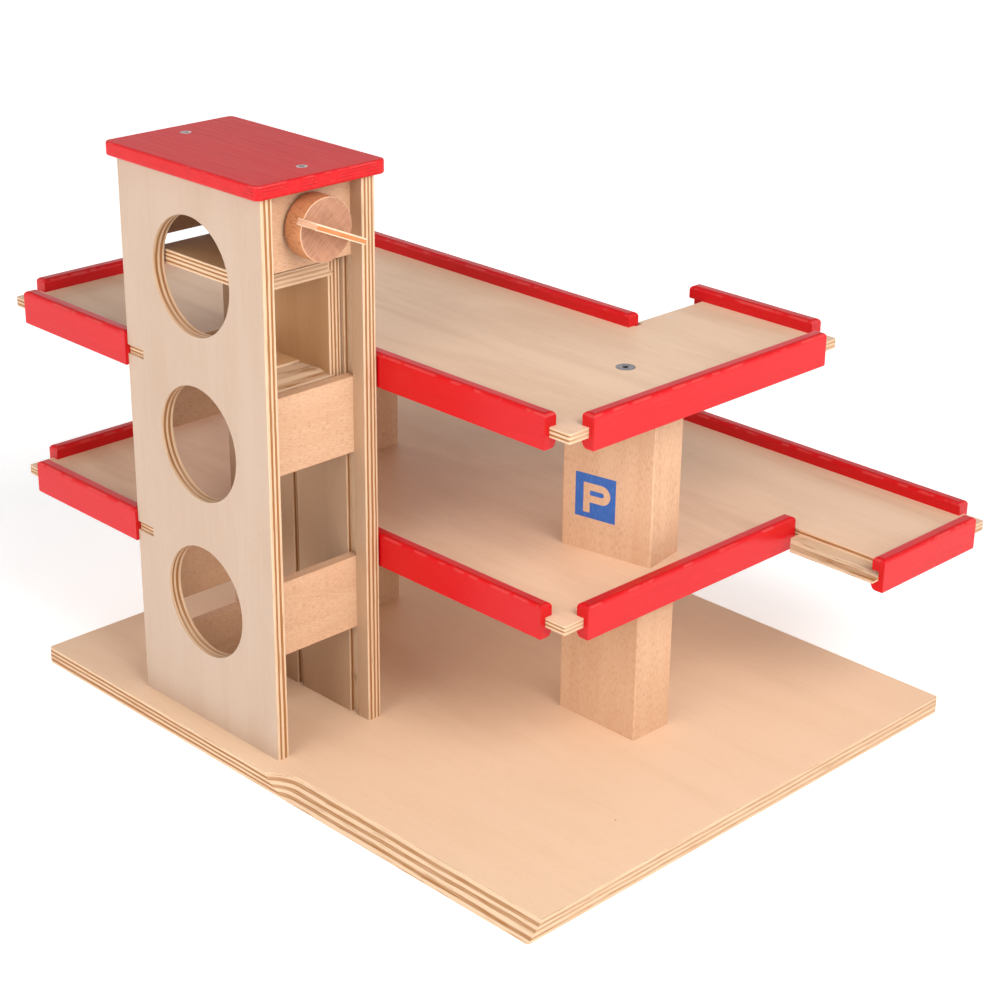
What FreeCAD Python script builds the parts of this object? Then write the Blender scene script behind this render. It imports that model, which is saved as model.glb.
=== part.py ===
import FreeCAD
import Part
import math
import os

# Wooden toy parking garage with a hand-wound lift.
# Frame: X runs along the front from left to right, Y from front to back, Z up, in millimetres.
# The origin is the centre of the base plate's underside.

# Base plate
BASE_WIDTH = 500.0
BASE_DEPTH = 600.0
BASE_THICKNESS = 15.0
BASE_CORNER_RADIUS = 3.0
BASE_EDGE_RADIUS = 0.8
RAMP_RUN = 15.0
RAMP_END_GAP = 6.0
RAMP_CUTTER_RADIUS = 40.0
PILOT_HOLE_RADIUS = 0.9
PILOT_HOLE_DEPTH = 5.0
PILOT_HOLE_FROM_LEFT = 151.0
PILOT_HOLE_FROM_FRONT = 55.0

# Storeys and decks
STOREY_HEIGHT = 155.0
DECK_THICKNESS = 8.0
MAIN_FRONT_OFFSET = 100.0
BAY_DEPTH = 165.0
DECK_LAP = 21.0
DECK_SIDE_INSET = 2.5
DECK_CORNER_RADIUS = 2.0
UPPER_MAIN_WIDTH = 217.0
UPPER_WING_REACH = 98.5
UPPER_WING_DEPTH = 138.0
LOWER_MAIN_WIDTH = 400.0
LOWER_WING_OVERHANG = 4.0
LOWER_WING_WIDTH = 127.0
LIP_RUN = 28.5
LIP_RISER_DEPTH = 4.6
LIP_RISER_RUN = 2.0
LIP_TROUGH_WIDTH = 11.0
LIP_CREST_RISE = 1.2
LIP_CREST_RUN = 2.5
LIP_EDGE_HEIGHT = 1.0
LIP_END_CUT_RUN = 17.0
LIP_END_CUT_DEPTH = 12.0
TONGUE_RUN = 9.0
SLIT_WIDTH = 8.6
SLIT_END_GAP = 1.5
UPPER_RAIL_SETBACK = 4.0

# Red edge rails, a grooved section pushed on the deck's edge
RAIL_THICKNESS = 12.0
RAIL_CROWN = 11.0
RAIL_BELLY = 10.0
RAIL_WEB = 5.0
RAIL_TOP_RADIUS = 3.5
RAIL_BELLY_RADIUS = 6.5
RAIL_TOE_RADIUS = 1.5
RAIL_END_RADIUS = 4.0
RAIL_END_TOE_RADIUS = 1.5
RAIL_CORNER_GAP = 20.5
BACK_RAIL_LEFT_GAP = 24.5
RAIL_PANEL_GAP = 1.5
LOWER_WING_RAIL_INSET = 8.0
UPPER_WING_RAIL_REACH = 15.0

# Tower panels
TOWER_LEFT_OFFSET = 20.0
TOWER_FRONT_OFFSET = 303.0
TOWER_WIDTH = 110.0
TOWER_DEPTH = 177.0
LEFT_PANEL_THICKNESS = 11.0
RIGHT_PANEL_THICKNESS = 13.0
PANEL_EDGE_RADIUS = 0.8
WINDOW_RADIUS = 48.0
WINDOW_SPACING = 137.7
TOP_WINDOW_DROP = 78.5

# Beech cross pieces, housed in grooves of both panels
CROSS_THICKNESS = 10.0
CROSS_HEIGHT = 64.0
CROSS_SETBACK = 13.5
HOUSING_DEPTH = 5.0
CROSS_EDGE_RADIUS = 0.8
SILL_HEIGHT = 56.0

# Roof
ROOF_THICKNESS = 11.5
ROOF_SIDE_OVERHANG = 8.0
ROOF_END_OVERHANG = 6.0
ROOF_CORNER_RADIUS = 6.0
ROOF_EDGE_RADIUS = 2.0

# Pillars and the tie rods through them
PILLAR_WIDTH = 43.0
PILLAR_DEPTH = 85.0
PILLAR_EDGE_RADIUS = 1.5
PILLAR_LINE_FROM_TOWER = 143.5
FRONT_PILLAR_FROM_FRONT = 170.5
PILLAR_PITCH = 334.0
SIGN_PILLAR_TURN = 10.5
TIE_ROD_RADIUS = 3.0
TIE_ROD_CLEARANCE = 0.2
TIE_NUT_HEAD_RADIUS = 8.0
TIE_NUT_HEAD_THICKNESS = 1.8
TIE_NUT_SLEEVE_RADIUS = 4.2
TIE_NUT_SLEEVE_LENGTH = 9.0
TIE_NUT_SOCKET_RADIUS = 2.5
TIE_NUT_SOCKET_DEPTH = 2.5

# Lift cabin
CABIN_BOARD = 12.0
CABIN_FLOOR_THICKNESS = 8.0
CABIN_SIDE_CLEARANCE = 0.5
CABIN_LEFT_CLEARANCE = 2.0
CABIN_FRONT_CLEARANCE = 3.0
CABIN_BACK_CLEARANCE = 6.0
CABIN_FLOOR_DROP = 4.4
CABIN_HEIGHT = 97.9
CABIN_TONGUE_THICKNESS = 4.0
CABIN_TONGUE_LENGTH = 5.0
CABIN_TONGUE_GAP = 0.6
CABIN_LIP_DEPTH = 38.0
CABIN_LIP_RISER_RUN = 1.2
CABIN_LIP_RISER_DEPTH = 1.7
CABIN_LIP_CREST_DEPTH = 12.5
CABIN_LIP_CREST_DROP = 0.3
CABIN_LIP_NOSE_DROP = 3.3
CABIN_GROUND_GAP = 0.5
CABIN_EDGE_RADIUS = 0.6
GUIDE_GROOVE_WIDTH = 8.0
RUNNER_SIDE_CLEARANCE = 0.3
RUNNER_END_CLEARANCE = 0.4

# Knob, shaft, spool and cord
SHAFT_HEIGHT_BELOW_TOP = 31.5
SHAFT_RADIUS = 6.0
SHAFT_RUNNING_CLEARANCE = 0.06
SHAFT_END_SETBACK = 0.5
KNOB_RADIUS = 25.0
KNOB_THICKNESS = 19.0
KNOB_EDGE_RADIUS = 1.0
KNOB_BORE_DEPTH = 13.5
KNOB_GRIP_LENGTH = 52.0
KNOB_GRIP_THICKNESS = 5.0
KNOB_GRIP_REACH = 17.5
KNOB_GRIP_SEAT = 4.5
KNOB_GRIP_ANGLE = 23.4
WASHER_RADIUS = 12.0
WASHER_THICKNESS = 2.7
KNOB_STAND_OFF = 3.0
COLLAR_RADIUS = 11.0
COLLAR_LENGTH = 8.0
COLLAR_GAP = 0.3
SPOOL_CORE_RADIUS = 8.41
SPOOL_FLANGE_RADIUS = 13.0
SPOOL_FLANGE_THICKNESS = 4.0
SPOOL_INNER_WIDTH = 24.0
PIN_RADIUS = 1.25
SEAT_FIT = 0.02
CORD_RADIUS = 1.0
CORD_LIE_GAP = 0.05
CORD_TURNS = 7
CORD_PITCH = 2.6
CORD_HOLE_RADIUS = 1.4
CORD_END_GAP = 0.3
KNOT_RADIUS = 3.0
KNOT_POCKET_RADIUS = 4.0
KNOT_POCKET_DEPTH = 7.0
KNOT_SEAT_GAP = 0.3

# Screws
ROOF_SCREW_HEAD_RADIUS = 4.5
ROOF_SCREW_LENGTH = 35.0
ROOF_SCREW_SHANK_RADIUS = 2.0
REAR_ROOF_SCREW_SHIFT = 2.0
PANEL_SCREW_HEAD_RADIUS = 4.0
PANEL_SCREW_LENGTH = 45.0
PANEL_SCREW_SHANK_RADIUS = 1.75
PANEL_SCREW_END_DISTANCE = 30.0
SCREW_HEAD_CYLINDER = 0.6
SCREW_HOLE_CLEARANCE = 0.05
DRIVE_RECESS_WIDTH = 1.2
DRIVE_RECESS_SPAN = 0.62
DRIVE_RECESS_DEPTH = 1.4

# Places worked out from the sizes above
base_left = -BASE_WIDTH / 2
base_front = -BASE_DEPTH / 2
base_top = BASE_THICKNESS
lower_deck_top = base_top + STOREY_HEIGHT
upper_deck_top = lower_deck_top + STOREY_HEIGHT
tower_top = upper_deck_top + STOREY_HEIGHT
lower_deck_under = lower_deck_top - DECK_THICKNESS
upper_deck_under = upper_deck_top - DECK_THICKNESS

tower_left = base_left + TOWER_LEFT_OFFSET
tower_right = tower_left + TOWER_WIDTH
tower_front = base_front + TOWER_FRONT_OFFSET
tower_back = tower_front + TOWER_DEPTH
tower_mid_x = tower_left + TOWER_WIDTH / 2
tower_mid_y = tower_front + TOWER_DEPTH / 2
shaft_left = tower_left + LEFT_PANEL_THICKNESS
shaft_right = tower_right - RIGHT_PANEL_THICKNESS
cross_left = shaft_left - HOUSING_DEPTH
cross_right = shaft_right + HOUSING_DEPTH
front_cross_y = tower_front + CROSS_SETBACK
back_cross_y = tower_back - CROSS_SETBACK - CROSS_THICKNESS
front_cross_back = front_cross_y + CROSS_THICKNESS

main_left = tower_right + RAIL_PANEL_GAP + RAIL_WEB
main_front = base_front + MAIN_FRONT_OFFSET
deck_left = tower_left + DECK_SIDE_INSET
deck_back = tower_back + BAY_DEPTH
deck_notch_y = tower_back - DECK_LAP
upper_main_right = main_left + UPPER_MAIN_WIDTH
upper_wing_right = upper_main_right + UPPER_WING_REACH
upper_lip_y = main_front + UPPER_WING_DEPTH
lower_main_right = main_left + LOWER_MAIN_WIDTH
lower_wing_front = base_front - LOWER_WING_OVERHANG
lower_lip_x = lower_main_right - LOWER_WING_WIDTH
lower_lip_edge = lower_lip_x - LIP_RUN
upper_tongue_edge = upper_lip_y + TONGUE_RUN

rail_groove = RAIL_THICKNESS - RAIL_WEB

pillar_x = tower_right + PILLAR_LINE_FROM_TOWER
front_pillar_y = base_front + FRONT_PILLAR_FROM_FRONT
rear_pillar_y = front_pillar_y + PILLAR_PITCH

cabin_left = shaft_left + CABIN_LEFT_CLEARANCE
cabin_right = shaft_right - CABIN_SIDE_CLEARANCE
cabin_inner_right = cabin_right - CABIN_BOARD
cabin_front = front_cross_back + CABIN_FRONT_CLEARANCE
cabin_back = back_cross_y - CABIN_BACK_CLEARANCE
cabin_depth = cabin_back - cabin_front
cabin_floor_top = upper_deck_top - CABIN_FLOOR_DROP
cabin_floor_under = cabin_floor_top - CABIN_FLOOR_THICKNESS
cabin_top_z = cabin_floor_under + CABIN_HEIGHT
cabin_ceiling_z = cabin_top_z - CABIN_BOARD
lift_travel = cabin_floor_under - base_top - CABIN_GROUND_GAP

shaft_z = tower_top - SHAFT_HEIGHT_BELOW_TOP
shaft_x = tower_mid_x
knob_back_y = front_cross_y - KNOB_STAND_OFF
knob_front_y = knob_back_y - KNOB_THICKNESS
shaft_front_y = knob_front_y + KNOB_THICKNESS - KNOB_BORE_DEPTH
shaft_back_y = back_cross_y + CROSS_THICKNESS - SHAFT_END_SETBACK
winding_radius = SPOOL_CORE_RADIUS + CORD_LIE_GAP + CORD_RADIUS
winding_width = CORD_TURNS * CORD_PITCH
winding_start_y = tower_mid_y - winding_width / 2
cord_y = winding_start_y + winding_width
cord_x = shaft_x + winding_radius
knot_top_z = cabin_ceiling_z + KNOT_POCKET_DEPTH - KNOT_SEAT_GAP


def vec(x, y, z):
    """A point or direction."""
    return FreeCAD.Vector(x, y, z)


def block(x0, x1, y0, y1, z0, z1):
    """A box between two corners."""
    return Part.makeBox(x1 - x0, y1 - y0, z1 - z0, vec(x0, y0, z0))


def upright(x, y, z0, z1, radius):
    """A vertical cylinder."""
    return Part.makeCylinder(radius, z1 - z0, vec(x, y, z0))


def lengthwise(x, z, y0, y1, radius):
    """A cylinder along Y."""
    return Part.makeCylinder(radius, y1 - y0, vec(x, y0, z), vec(0, 1, 0))


def prism(points, direction):
    """A closed outline of straight lines, pushed along a direction."""
    wire = Part.makePolygon(points + [points[0]])
    return Part.Face(wire).extrude(direction)


def is_along(edge, axis):
    """True for a straight edge along the given direction."""
    if edge.Curve.TypeId != "Part::GeomLine":
        return False
    return abs(abs(edge.tangentAt(edge.FirstParameter).dot(axis)) - 1.0) < 1e-6


def ease(shape, axis, radius, keep=None):
    """Rounds the straight edges that run along an axis, all or those that keep accepts."""
    edges = [e for e in shape.Edges if is_along(e, axis)]
    if keep is not None:
        edges = [e for e in edges if keep(e.CenterOfMass)]
    return shape.makeFillet(radius, edges)


def eased_block(x0, x1, y0, y1, z0, z1, axis, radius):
    """A box whose four edges along an axis are rounded."""
    return ease(block(x0, x1, y0, y1, z0, z1), axis, radius)


def countersunk_screw(x, y, z_face, down, head_radius, shank_radius, length):
    """A cross-recessed screw with its head flush in a face, and the hole that takes it."""
    step = -1.0 if down else 1.0
    cone = head_radius - shank_radius

    def body(extra):
        face = vec(x, y, z_face - step * extra)
        axis = vec(0, 0, step)
        head = Part.makeCylinder(head_radius + extra, SCREW_HEAD_CYLINDER + extra, face, axis)
        neck_base = vec(x, y, z_face + step * SCREW_HEAD_CYLINDER)
        neck = Part.makeCone(head_radius + extra, shank_radius + extra, cone, neck_base, axis)
        shank_length = length - SCREW_HEAD_CYLINDER - cone + extra
        shank_base = vec(x, y, z_face + step * (SCREW_HEAD_CYLINDER + cone))
        shank = Part.makeCylinder(shank_radius + extra, shank_length, shank_base, axis)
        return head.fuse([neck, shank]).removeSplitter()

    half = head_radius * DRIVE_RECESS_SPAN
    low = min(z_face, z_face + step * DRIVE_RECESS_DEPTH)
    high = max(z_face, z_face + step * DRIVE_RECESS_DEPTH)
    slot = DRIVE_RECESS_WIDTH / 2
    cross = block(x - half, x + half, y - slot, y + slot, low, high)
    cross = cross.fuse(block(x - slot, x + slot, y - half, y + half, low, high))
    return body(0.0).cut(cross), body(SCREW_HOLE_CLEARANCE)


def make_ramp_cutter():
    """The bevel along the base's left edge, with the round run-out that the cutter leaves."""
    over = 1.0
    top = base_top + over
    run_top = RAMP_RUN * top / base_top
    run_low = -RAMP_RUN * over / base_top
    cutter_x = base_left + RAMP_RUN - RAMP_CUTTER_RADIUS
    reach = math.sqrt(RAMP_CUTTER_RADIUS ** 2 - (RAMP_CUTTER_RADIUS - RAMP_RUN) ** 2)
    end_y = tower_front - RAMP_END_GAP - reach
    front_y = base_front - over
    section = [
        vec(base_left + run_low, front_y, -over),
        vec(base_left + run_top, front_y, top),
        vec(cutter_x, front_y, top),
        vec(cutter_x, front_y, -over),
    ]
    straight = prism(section, vec(0, end_y - front_y, 0))
    low_radius = RAMP_CUTTER_RADIUS - RAMP_RUN + run_low
    top_radius = RAMP_CUTTER_RADIUS - RAMP_RUN + run_top
    run_out = Part.makeCone(low_radius, top_radius, top + over, vec(cutter_x, end_y, -over))
    return straight, run_out


def make_base():
    """The base plate, before its screw and rod holes."""
    base = block(base_left, -base_left, base_front, -base_front, 0, base_top)
    base = ease(base, vec(0, 0, 1), BASE_CORNER_RADIUS)
    rim = [e for e in base.Edges if e.CenterOfMass.z > base_top - 0.01]
    base = base.makeFillet(BASE_EDGE_RADIUS, rim)
    for cutter in make_ramp_cutter():
        base = base.cut(cutter)
    pilot = upright(
        base_left + PILOT_HOLE_FROM_LEFT,
        base_front + PILOT_HOLE_FROM_FRONT,
        base_top - PILOT_HOLE_DEPTH,
        base_top + 1,
        PILOT_HOLE_RADIUS,
    )
    return base.cut(pilot)


def panel_slots(x0, x1):
    """The two slots, open at the back edge, in which the decks are lapped."""
    slots = []
    for under, top in ((lower_deck_under, lower_deck_top), (upper_deck_under, upper_deck_top)):
        slots.append(block(x0 - 1, x1 + 1, deck_notch_y, tower_back + 1, under, top))
    return slots


def cross_housings(x0, x1):
    """The full-height grooves for the front and back cross pieces."""
    grooves = []
    for y in (front_cross_y, back_cross_y):
        grooves.append(block(x0, x1, y, y + CROSS_THICKNESS, base_top - 1, tower_top + 1))
    return grooves


def make_left_panel():
    """The tower's left panel with its three round windows."""
    panel = block(tower_left, shaft_left, tower_front, tower_back, base_top, tower_top)
    panel = ease(panel, vec(0, 0, 1), PANEL_EDGE_RADIUS)
    for index in range(3):
        z = tower_top - TOP_WINDOW_DROP - index * WINDOW_SPACING
        window = Part.makeCylinder(
            WINDOW_RADIUS,
            LEFT_PANEL_THICKNESS + 2,
            vec(tower_left - 1, tower_mid_y, z),
            vec(1, 0, 0),
        )
        panel = panel.cut(window)
    for cutter in panel_slots(tower_left, shaft_left) + cross_housings(cross_left, shaft_left + 1):
        panel = panel.cut(cutter)
    return panel


def make_right_panel():
    """The tower's right panel, with housings and the groove that guides the cabin."""
    panel = block(shaft_right, tower_right, tower_front, tower_back, base_top, tower_top)
    panel = ease(panel, vec(0, 0, 1), PANEL_EDGE_RADIUS)
    guide = block(
        shaft_right - 1,
        cross_right,
        tower_mid_y - GUIDE_GROOVE_WIDTH / 2,
        tower_mid_y + GUIDE_GROOVE_WIDTH / 2,
        base_top - 1,
        tower_top + 1,
    )
    cutters = panel_slots(shaft_right, tower_right) + cross_housings(shaft_right - 1, cross_right)
    for cutter in cutters + [guide]:
        panel = panel.cut(cutter)
    return panel


def make_cross_piece(y, z_top, height):
    """A beech board across the tower, its ends in the panels' housings."""
    return eased_block(
        cross_left,
        cross_right,
        y,
        y + CROSS_THICKNESS,
        z_top - height,
        z_top,
        vec(1, 0, 0),
        CROSS_EDGE_RADIUS,
    )


def make_roof():
    """The red roof board that closes the tower."""
    roof = block(
        tower_left - ROOF_SIDE_OVERHANG,
        tower_right + ROOF_SIDE_OVERHANG,
        tower_front - ROOF_END_OVERHANG,
        tower_back + ROOF_END_OVERHANG,
        tower_top,
        tower_top + ROOF_THICKNESS,
    )
    roof = ease(roof, vec(0, 0, 1), ROOF_CORNER_RADIUS)
    middle = tower_top + ROOF_THICKNESS / 2
    rim = [e for e in roof.Edges if abs(e.CenterOfMass.z - middle) > ROOF_THICKNESS / 2 - 0.01]
    return roof.makeFillet(ROOF_EDGE_RADIUS, rim)


def lip_profile(top_z):
    """The stepped section of a bare deck edge, as distance from its crease and height."""
    under = top_z - DECK_THICKNESS
    riser_end = LIP_RISER_RUN
    trough_end = riser_end + LIP_TROUGH_WIDTH
    crest = trough_end + LIP_CREST_RUN
    trough_z = top_z - LIP_RISER_DEPTH
    return [
        (0.0, top_z + 1.0),
        (0.0, top_z),
        (riser_end, trough_z),
        (trough_end, trough_z),
        (crest, trough_z + LIP_CREST_RISE),
        (LIP_RUN, under + LIP_EDGE_HEIGHT),
        (LIP_RUN + 1.0, under + LIP_EDGE_HEIGHT),
        (LIP_RUN + 1.0, top_z + 1.0),
    ]


def make_deck_plate(outline, top_z, corners):
    """A plywood deck from its plan outline, with the named corners slightly rounded."""
    under = top_z - DECK_THICKNESS
    points = [vec(x, y, under) for x, y in outline]
    plate = prism(points, vec(0, 0, DECK_THICKNESS))

    def is_corner(place):
        return any(math.hypot(place.x - x, place.y - y) < 0.01 for x, y in corners)

    return ease(plate, vec(0, 0, 1), DECK_CORNER_RADIUS, is_corner)


def make_lower_deck():
    """The lower deck: bay behind the tower, main floor, and a wing that runs to the front."""
    slit_low = main_front - SLIT_WIDTH
    slit_end = lower_lip_x - LIP_RISER_RUN + SLIT_END_GAP
    corners = [
        (main_left, main_front),
        (lower_main_right, lower_wing_front),
        (lower_main_right, deck_back),
        (deck_left, deck_back),
    ]
    outline = [
        (deck_left, deck_notch_y),
        (main_left, deck_notch_y),
        (main_left, main_front),
        (slit_end, main_front),
        (slit_end, slit_low),
        (lower_lip_edge + LIP_END_CUT_RUN, slit_low),
        (lower_lip_edge, slit_low - LIP_END_CUT_DEPTH),
        (lower_lip_edge, lower_wing_front),
        (lower_main_right, lower_wing_front),
        (lower_main_right, deck_back),
        (deck_left, deck_back),
    ]
    deck = make_deck_plate(outline, lower_deck_top, corners)
    front_y = lower_wing_front - 1
    section = [vec(lower_lip_x - d, front_y, z) for d, z in lip_profile(lower_deck_top)]
    return deck.cut(prism(section, vec(0, slit_low - front_y + 0.5, 0)))


def make_upper_deck():
    """The upper deck: bay behind the tower, main floor, and a wing to the right."""
    slit_right = upper_main_right + SLIT_WIDTH
    slit_end = upper_lip_y - UPPER_RAIL_SETBACK - SLIT_END_GAP
    corners = [
        (main_left, main_front),
        (upper_wing_right, main_front),
        (upper_main_right, deck_back),
        (deck_left, deck_back),
    ]
    outline = [
        (deck_left, deck_notch_y),
        (main_left, deck_notch_y),
        (main_left, main_front),
        (upper_wing_right, main_front),
        (upper_wing_right, upper_tongue_edge),
        (slit_right, upper_tongue_edge),
        (slit_right, slit_end),
        (upper_main_right, slit_end),
        (upper_main_right, deck_back),
        (deck_left, deck_back),
    ]
    deck = make_deck_plate(outline, upper_deck_top, corners)
    tongue_z = upper_deck_top - LIP_RISER_DEPTH
    left_x = slit_right - 1
    section = [
        vec(left_x, upper_lip_y, upper_deck_top + 1),
        vec(left_x, upper_lip_y, upper_deck_top),
        vec(left_x, upper_lip_y + LIP_RISER_RUN, tongue_z),
        vec(left_x, upper_tongue_edge + 1, tongue_z),
        vec(left_x, upper_tongue_edge + 1, upper_deck_top + 1),
    ]
    return deck.cut(prism(section, vec(upper_wing_right - left_x + 1, 0, 0)))


def rail_section(top_z):
    """The rail's grooved section, in distance from the deck's edge and height, as a face at Y = 0."""
    bottom = top_z - DECK_THICKNESS - RAIL_BELLY
    crown = top_z + RAIL_CROWN
    body = block(-RAIL_WEB, rail_groove, 0, 1, bottom, crown)
    along = vec(0, 1, 0)
    body = ease(body, along, RAIL_TOP_RADIUS, lambda c: c.z > top_z)
    body = ease(body, along, RAIL_BELLY_RADIUS, lambda c: c.z < top_z and c.x > 0)
    body = ease(body, along, RAIL_TOE_RADIUS, lambda c: c.z < bottom + 0.01 and c.x < -RAIL_WEB + 0.01)
    groove = block(0, rail_groove + 1, -1, 2, top_z - DECK_THICKNESS, top_z)
    body = body.cut(groove)
    return [f for f in body.Faces if abs(f.CenterOfMass.y) < 1e-6][0]


def make_rail(length, top_z):
    """A rail lying along +Y from the origin, open towards +X."""
    bar = rail_section(top_z).extrude(vec(0, length, 0))
    bottom = top_z - DECK_THICKNESS - RAIL_BELLY
    crown = top_z + RAIL_CROWN
    mask = block(-RAIL_WEB - 1, rail_groove + 1, 0, length, bottom, crown)
    across = vec(1, 0, 0)
    mask = ease(mask, across, RAIL_END_RADIUS, lambda c: c.z > top_z)
    mask = ease(mask, across, RAIL_END_TOE_RADIUS, lambda c: c.z < top_z)
    return bar.common(mask)


def place_rail(x, y, quarter_turns, length, top_z):
    """A rail from a point of the deck's edge, its direction turned in steps of 90 degrees."""
    rail = make_rail(length, top_z)
    rail.rotate(vec(0, 0, 0), vec(0, 0, 1), 90.0 * quarter_turns)
    rail.translate(vec(x, y, 0))
    return rail


def make_rails():
    """All twelve rails by name. A rail's groove opens to the right of its direction of travel."""
    gap = RAIL_CORNER_GAP
    rails = {}
    for level, top_z, right in (
        ("lower", lower_deck_top, lower_main_right),
        ("upper", upper_deck_top, upper_main_right),
    ):
        bay_length = deck_back - gap - tower_back
        rails[level + "_left_rail"] = place_rail(deck_left, tower_back, 0, bay_length, top_z)
        side_length = deck_notch_y - main_front - 2 * gap
        rails[level + "_left_front_rail"] = place_rail(
            main_left, main_front + gap, 0, side_length, top_z
        )
        back_start = deck_left + BACK_RAIL_LEFT_GAP
        back_length = right - gap - back_start
        rails[level + "_back_rail"] = place_rail(back_start, deck_back, 3, back_length, top_z)
    back_end = deck_back - gap
    low_front = lower_wing_front + gap
    rails["lower_right_rail"] = place_rail(
        lower_main_right, back_end, 2, back_end - low_front, lower_deck_top
    )
    high_front = upper_lip_y - UPPER_RAIL_SETBACK
    rails["upper_right_rail"] = place_rail(
        upper_main_right, back_end, 2, back_end - high_front, upper_deck_top
    )
    rail_stop = lower_lip_x - LIP_RISER_RUN
    rails["lower_front_rail"] = place_rail(
        rail_stop, main_front, 1, rail_stop - main_left - gap, lower_deck_top
    )
    wing_end = upper_wing_right - gap
    rails["upper_front_rail"] = place_rail(
        wing_end, main_front, 1, wing_end - main_left - gap, upper_deck_top
    )
    end_right = lower_main_right - gap
    end_left = lower_lip_edge + LOWER_WING_RAIL_INSET
    rails["lower_wing_rail"] = place_rail(
        end_right, lower_wing_front, 1, end_right - end_left, lower_deck_top
    )
    wing_back = upper_lip_y + UPPER_WING_RAIL_REACH
    wing_front = main_front + gap
    rails["upper_wing_rail"] = place_rail(
        upper_wing_right, wing_back, 2, wing_back - wing_front, upper_deck_top
    )
    return rails


def make_pillar(x, y, z0, z1, turn):
    """A beech pillar, turned about its own upright axis."""
    pillar = eased_block(
        x - PILLAR_WIDTH / 2,
        x + PILLAR_WIDTH / 2,
        y - PILLAR_DEPTH / 2,
        y + PILLAR_DEPTH / 2,
        z0,
        z1,
        vec(0, 0, 1),
        PILLAR_EDGE_RADIUS,
    )
    pillar.rotate(vec(x, y, 0), vec(0, 0, 1), turn)
    return pillar.cut(upright(x, y, z0 - 1, z1 + 1, TIE_ROD_RADIUS + TIE_ROD_CLEARANCE))


def make_tie_nut(x, y, z_face, down):
    """A flat-headed sleeve nut with a hexagon socket, and the pocket that takes it."""
    step = -1.0 if down else 1.0
    axis = vec(0, 0, step)
    face = vec(x, y, z_face)

    def body(extra):
        head = Part.makeCylinder(TIE_NUT_HEAD_RADIUS + extra, TIE_NUT_HEAD_THICKNESS, face, axis)
        length = TIE_NUT_SLEEVE_LENGTH
        return head.fuse(Part.makeCylinder(TIE_NUT_SLEEVE_RADIUS + extra, length, face, axis))

    corners = []
    for index in range(6):
        angle = math.radians(60 * index)
        corners.append(
            vec(
                x + TIE_NUT_SOCKET_RADIUS * math.cos(angle),
                y + TIE_NUT_SOCKET_RADIUS * math.sin(angle),
                z_face,
            )
        )
    socket = prism(corners, vec(0, 0, step * TIE_NUT_SOCKET_DEPTH))
    rod_start = vec(x, y, z_face + step * (TIE_NUT_SOCKET_DEPTH + 1))
    thread = Part.makeCylinder(TIE_ROD_RADIUS + SEAT_FIT, TIE_NUT_SLEEVE_LENGTH, rod_start, axis)
    nut = body(0.0).removeSplitter().cut(socket).cut(thread)
    return nut, body(SCREW_HOLE_CLEARANCE)


def make_cabin_side():
    """The cabin's right wall, grooved for the tongues of the roof and floor boards."""
    side = block(cabin_inner_right, cabin_right, cabin_front, cabin_back, cabin_floor_under, cabin_top_z)
    side = ease(side, vec(0, 0, 1), CABIN_EDGE_RADIUS)
    depth = CABIN_TONGUE_LENGTH + CABIN_TONGUE_GAP
    for z in (cabin_ceiling_z, cabin_floor_under + CABIN_TONGUE_GAP):
        groove = block(
            cabin_inner_right - 1,
            cabin_inner_right + depth,
            cabin_front - 1,
            cabin_back + 1,
            z,
            z + CABIN_TONGUE_THICKNESS,
        )
        side = side.cut(groove)
    return side


def make_cabin_top():
    """The cabin's roof board, with the hole and pocket for the knotted cord."""
    top = eased_block(
        cabin_left,
        cabin_inner_right,
        cabin_front,
        cabin_back,
        cabin_ceiling_z,
        cabin_top_z,
        vec(0, 1, 0),
        CABIN_EDGE_RADIUS,
    )
    tongue = block(
        cabin_inner_right - 1,
        cabin_inner_right + CABIN_TONGUE_LENGTH,
        cabin_front,
        cabin_back,
        cabin_ceiling_z,
        cabin_ceiling_z + CABIN_TONGUE_THICKNESS,
    )
    square = block(
        cabin_inner_right - 1,
        cabin_inner_right,
        cabin_front,
        cabin_back,
        cabin_ceiling_z,
        cabin_top_z,
    )
    top = top.fuse([tongue, square]).removeSplitter()
    top = top.cut(upright(cord_x, cord_y, cabin_ceiling_z - 1, cabin_top_z + 1, CORD_HOLE_RADIUS))
    pocket_top = cabin_ceiling_z + KNOT_POCKET_DEPTH
    return top.cut(upright(cord_x, cord_y, cabin_ceiling_z - 1, pocket_top, KNOT_POCKET_RADIUS))


def make_cabin_floor():
    """The cabin's floor board, with a shaped lip along its front that keeps cars from rolling out."""
    tongue_z = cabin_floor_under + CABIN_TONGUE_GAP
    floor = block(
        cabin_left,
        cabin_inner_right,
        cabin_front,
        cabin_back,
        cabin_floor_under,
        cabin_floor_top,
    )
    tongue = block(
        cabin_inner_right - 1,
        cabin_inner_right + CABIN_TONGUE_LENGTH,
        cabin_front,
        cabin_back,
        tongue_z,
        tongue_z + CABIN_TONGUE_THICKNESS,
    )
    step_y = cabin_front + CABIN_LIP_DEPTH
    crest_y = cabin_front + CABIN_LIP_CREST_DEPTH
    nose_z = cabin_floor_top - CABIN_LIP_NOSE_DROP
    section = [
        (step_y, cabin_floor_top + 1),
        (step_y, cabin_floor_top),
        (step_y - CABIN_LIP_RISER_RUN, cabin_floor_top - CABIN_LIP_RISER_DEPTH),
        (crest_y, cabin_floor_top - CABIN_LIP_CREST_DROP),
        (cabin_front, nose_z),
        (cabin_front - 1, nose_z),
        (cabin_front - 1, cabin_floor_top + 1),
    ]
    points = [vec(cabin_left - 1, y, z) for y, z in section]
    cut_end = cabin_inner_right + 1
    lip = prism(points, vec(cut_end - points[0].x, 0, 0))
    return floor.cut(lip).fuse(tongue).removeSplitter()


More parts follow.
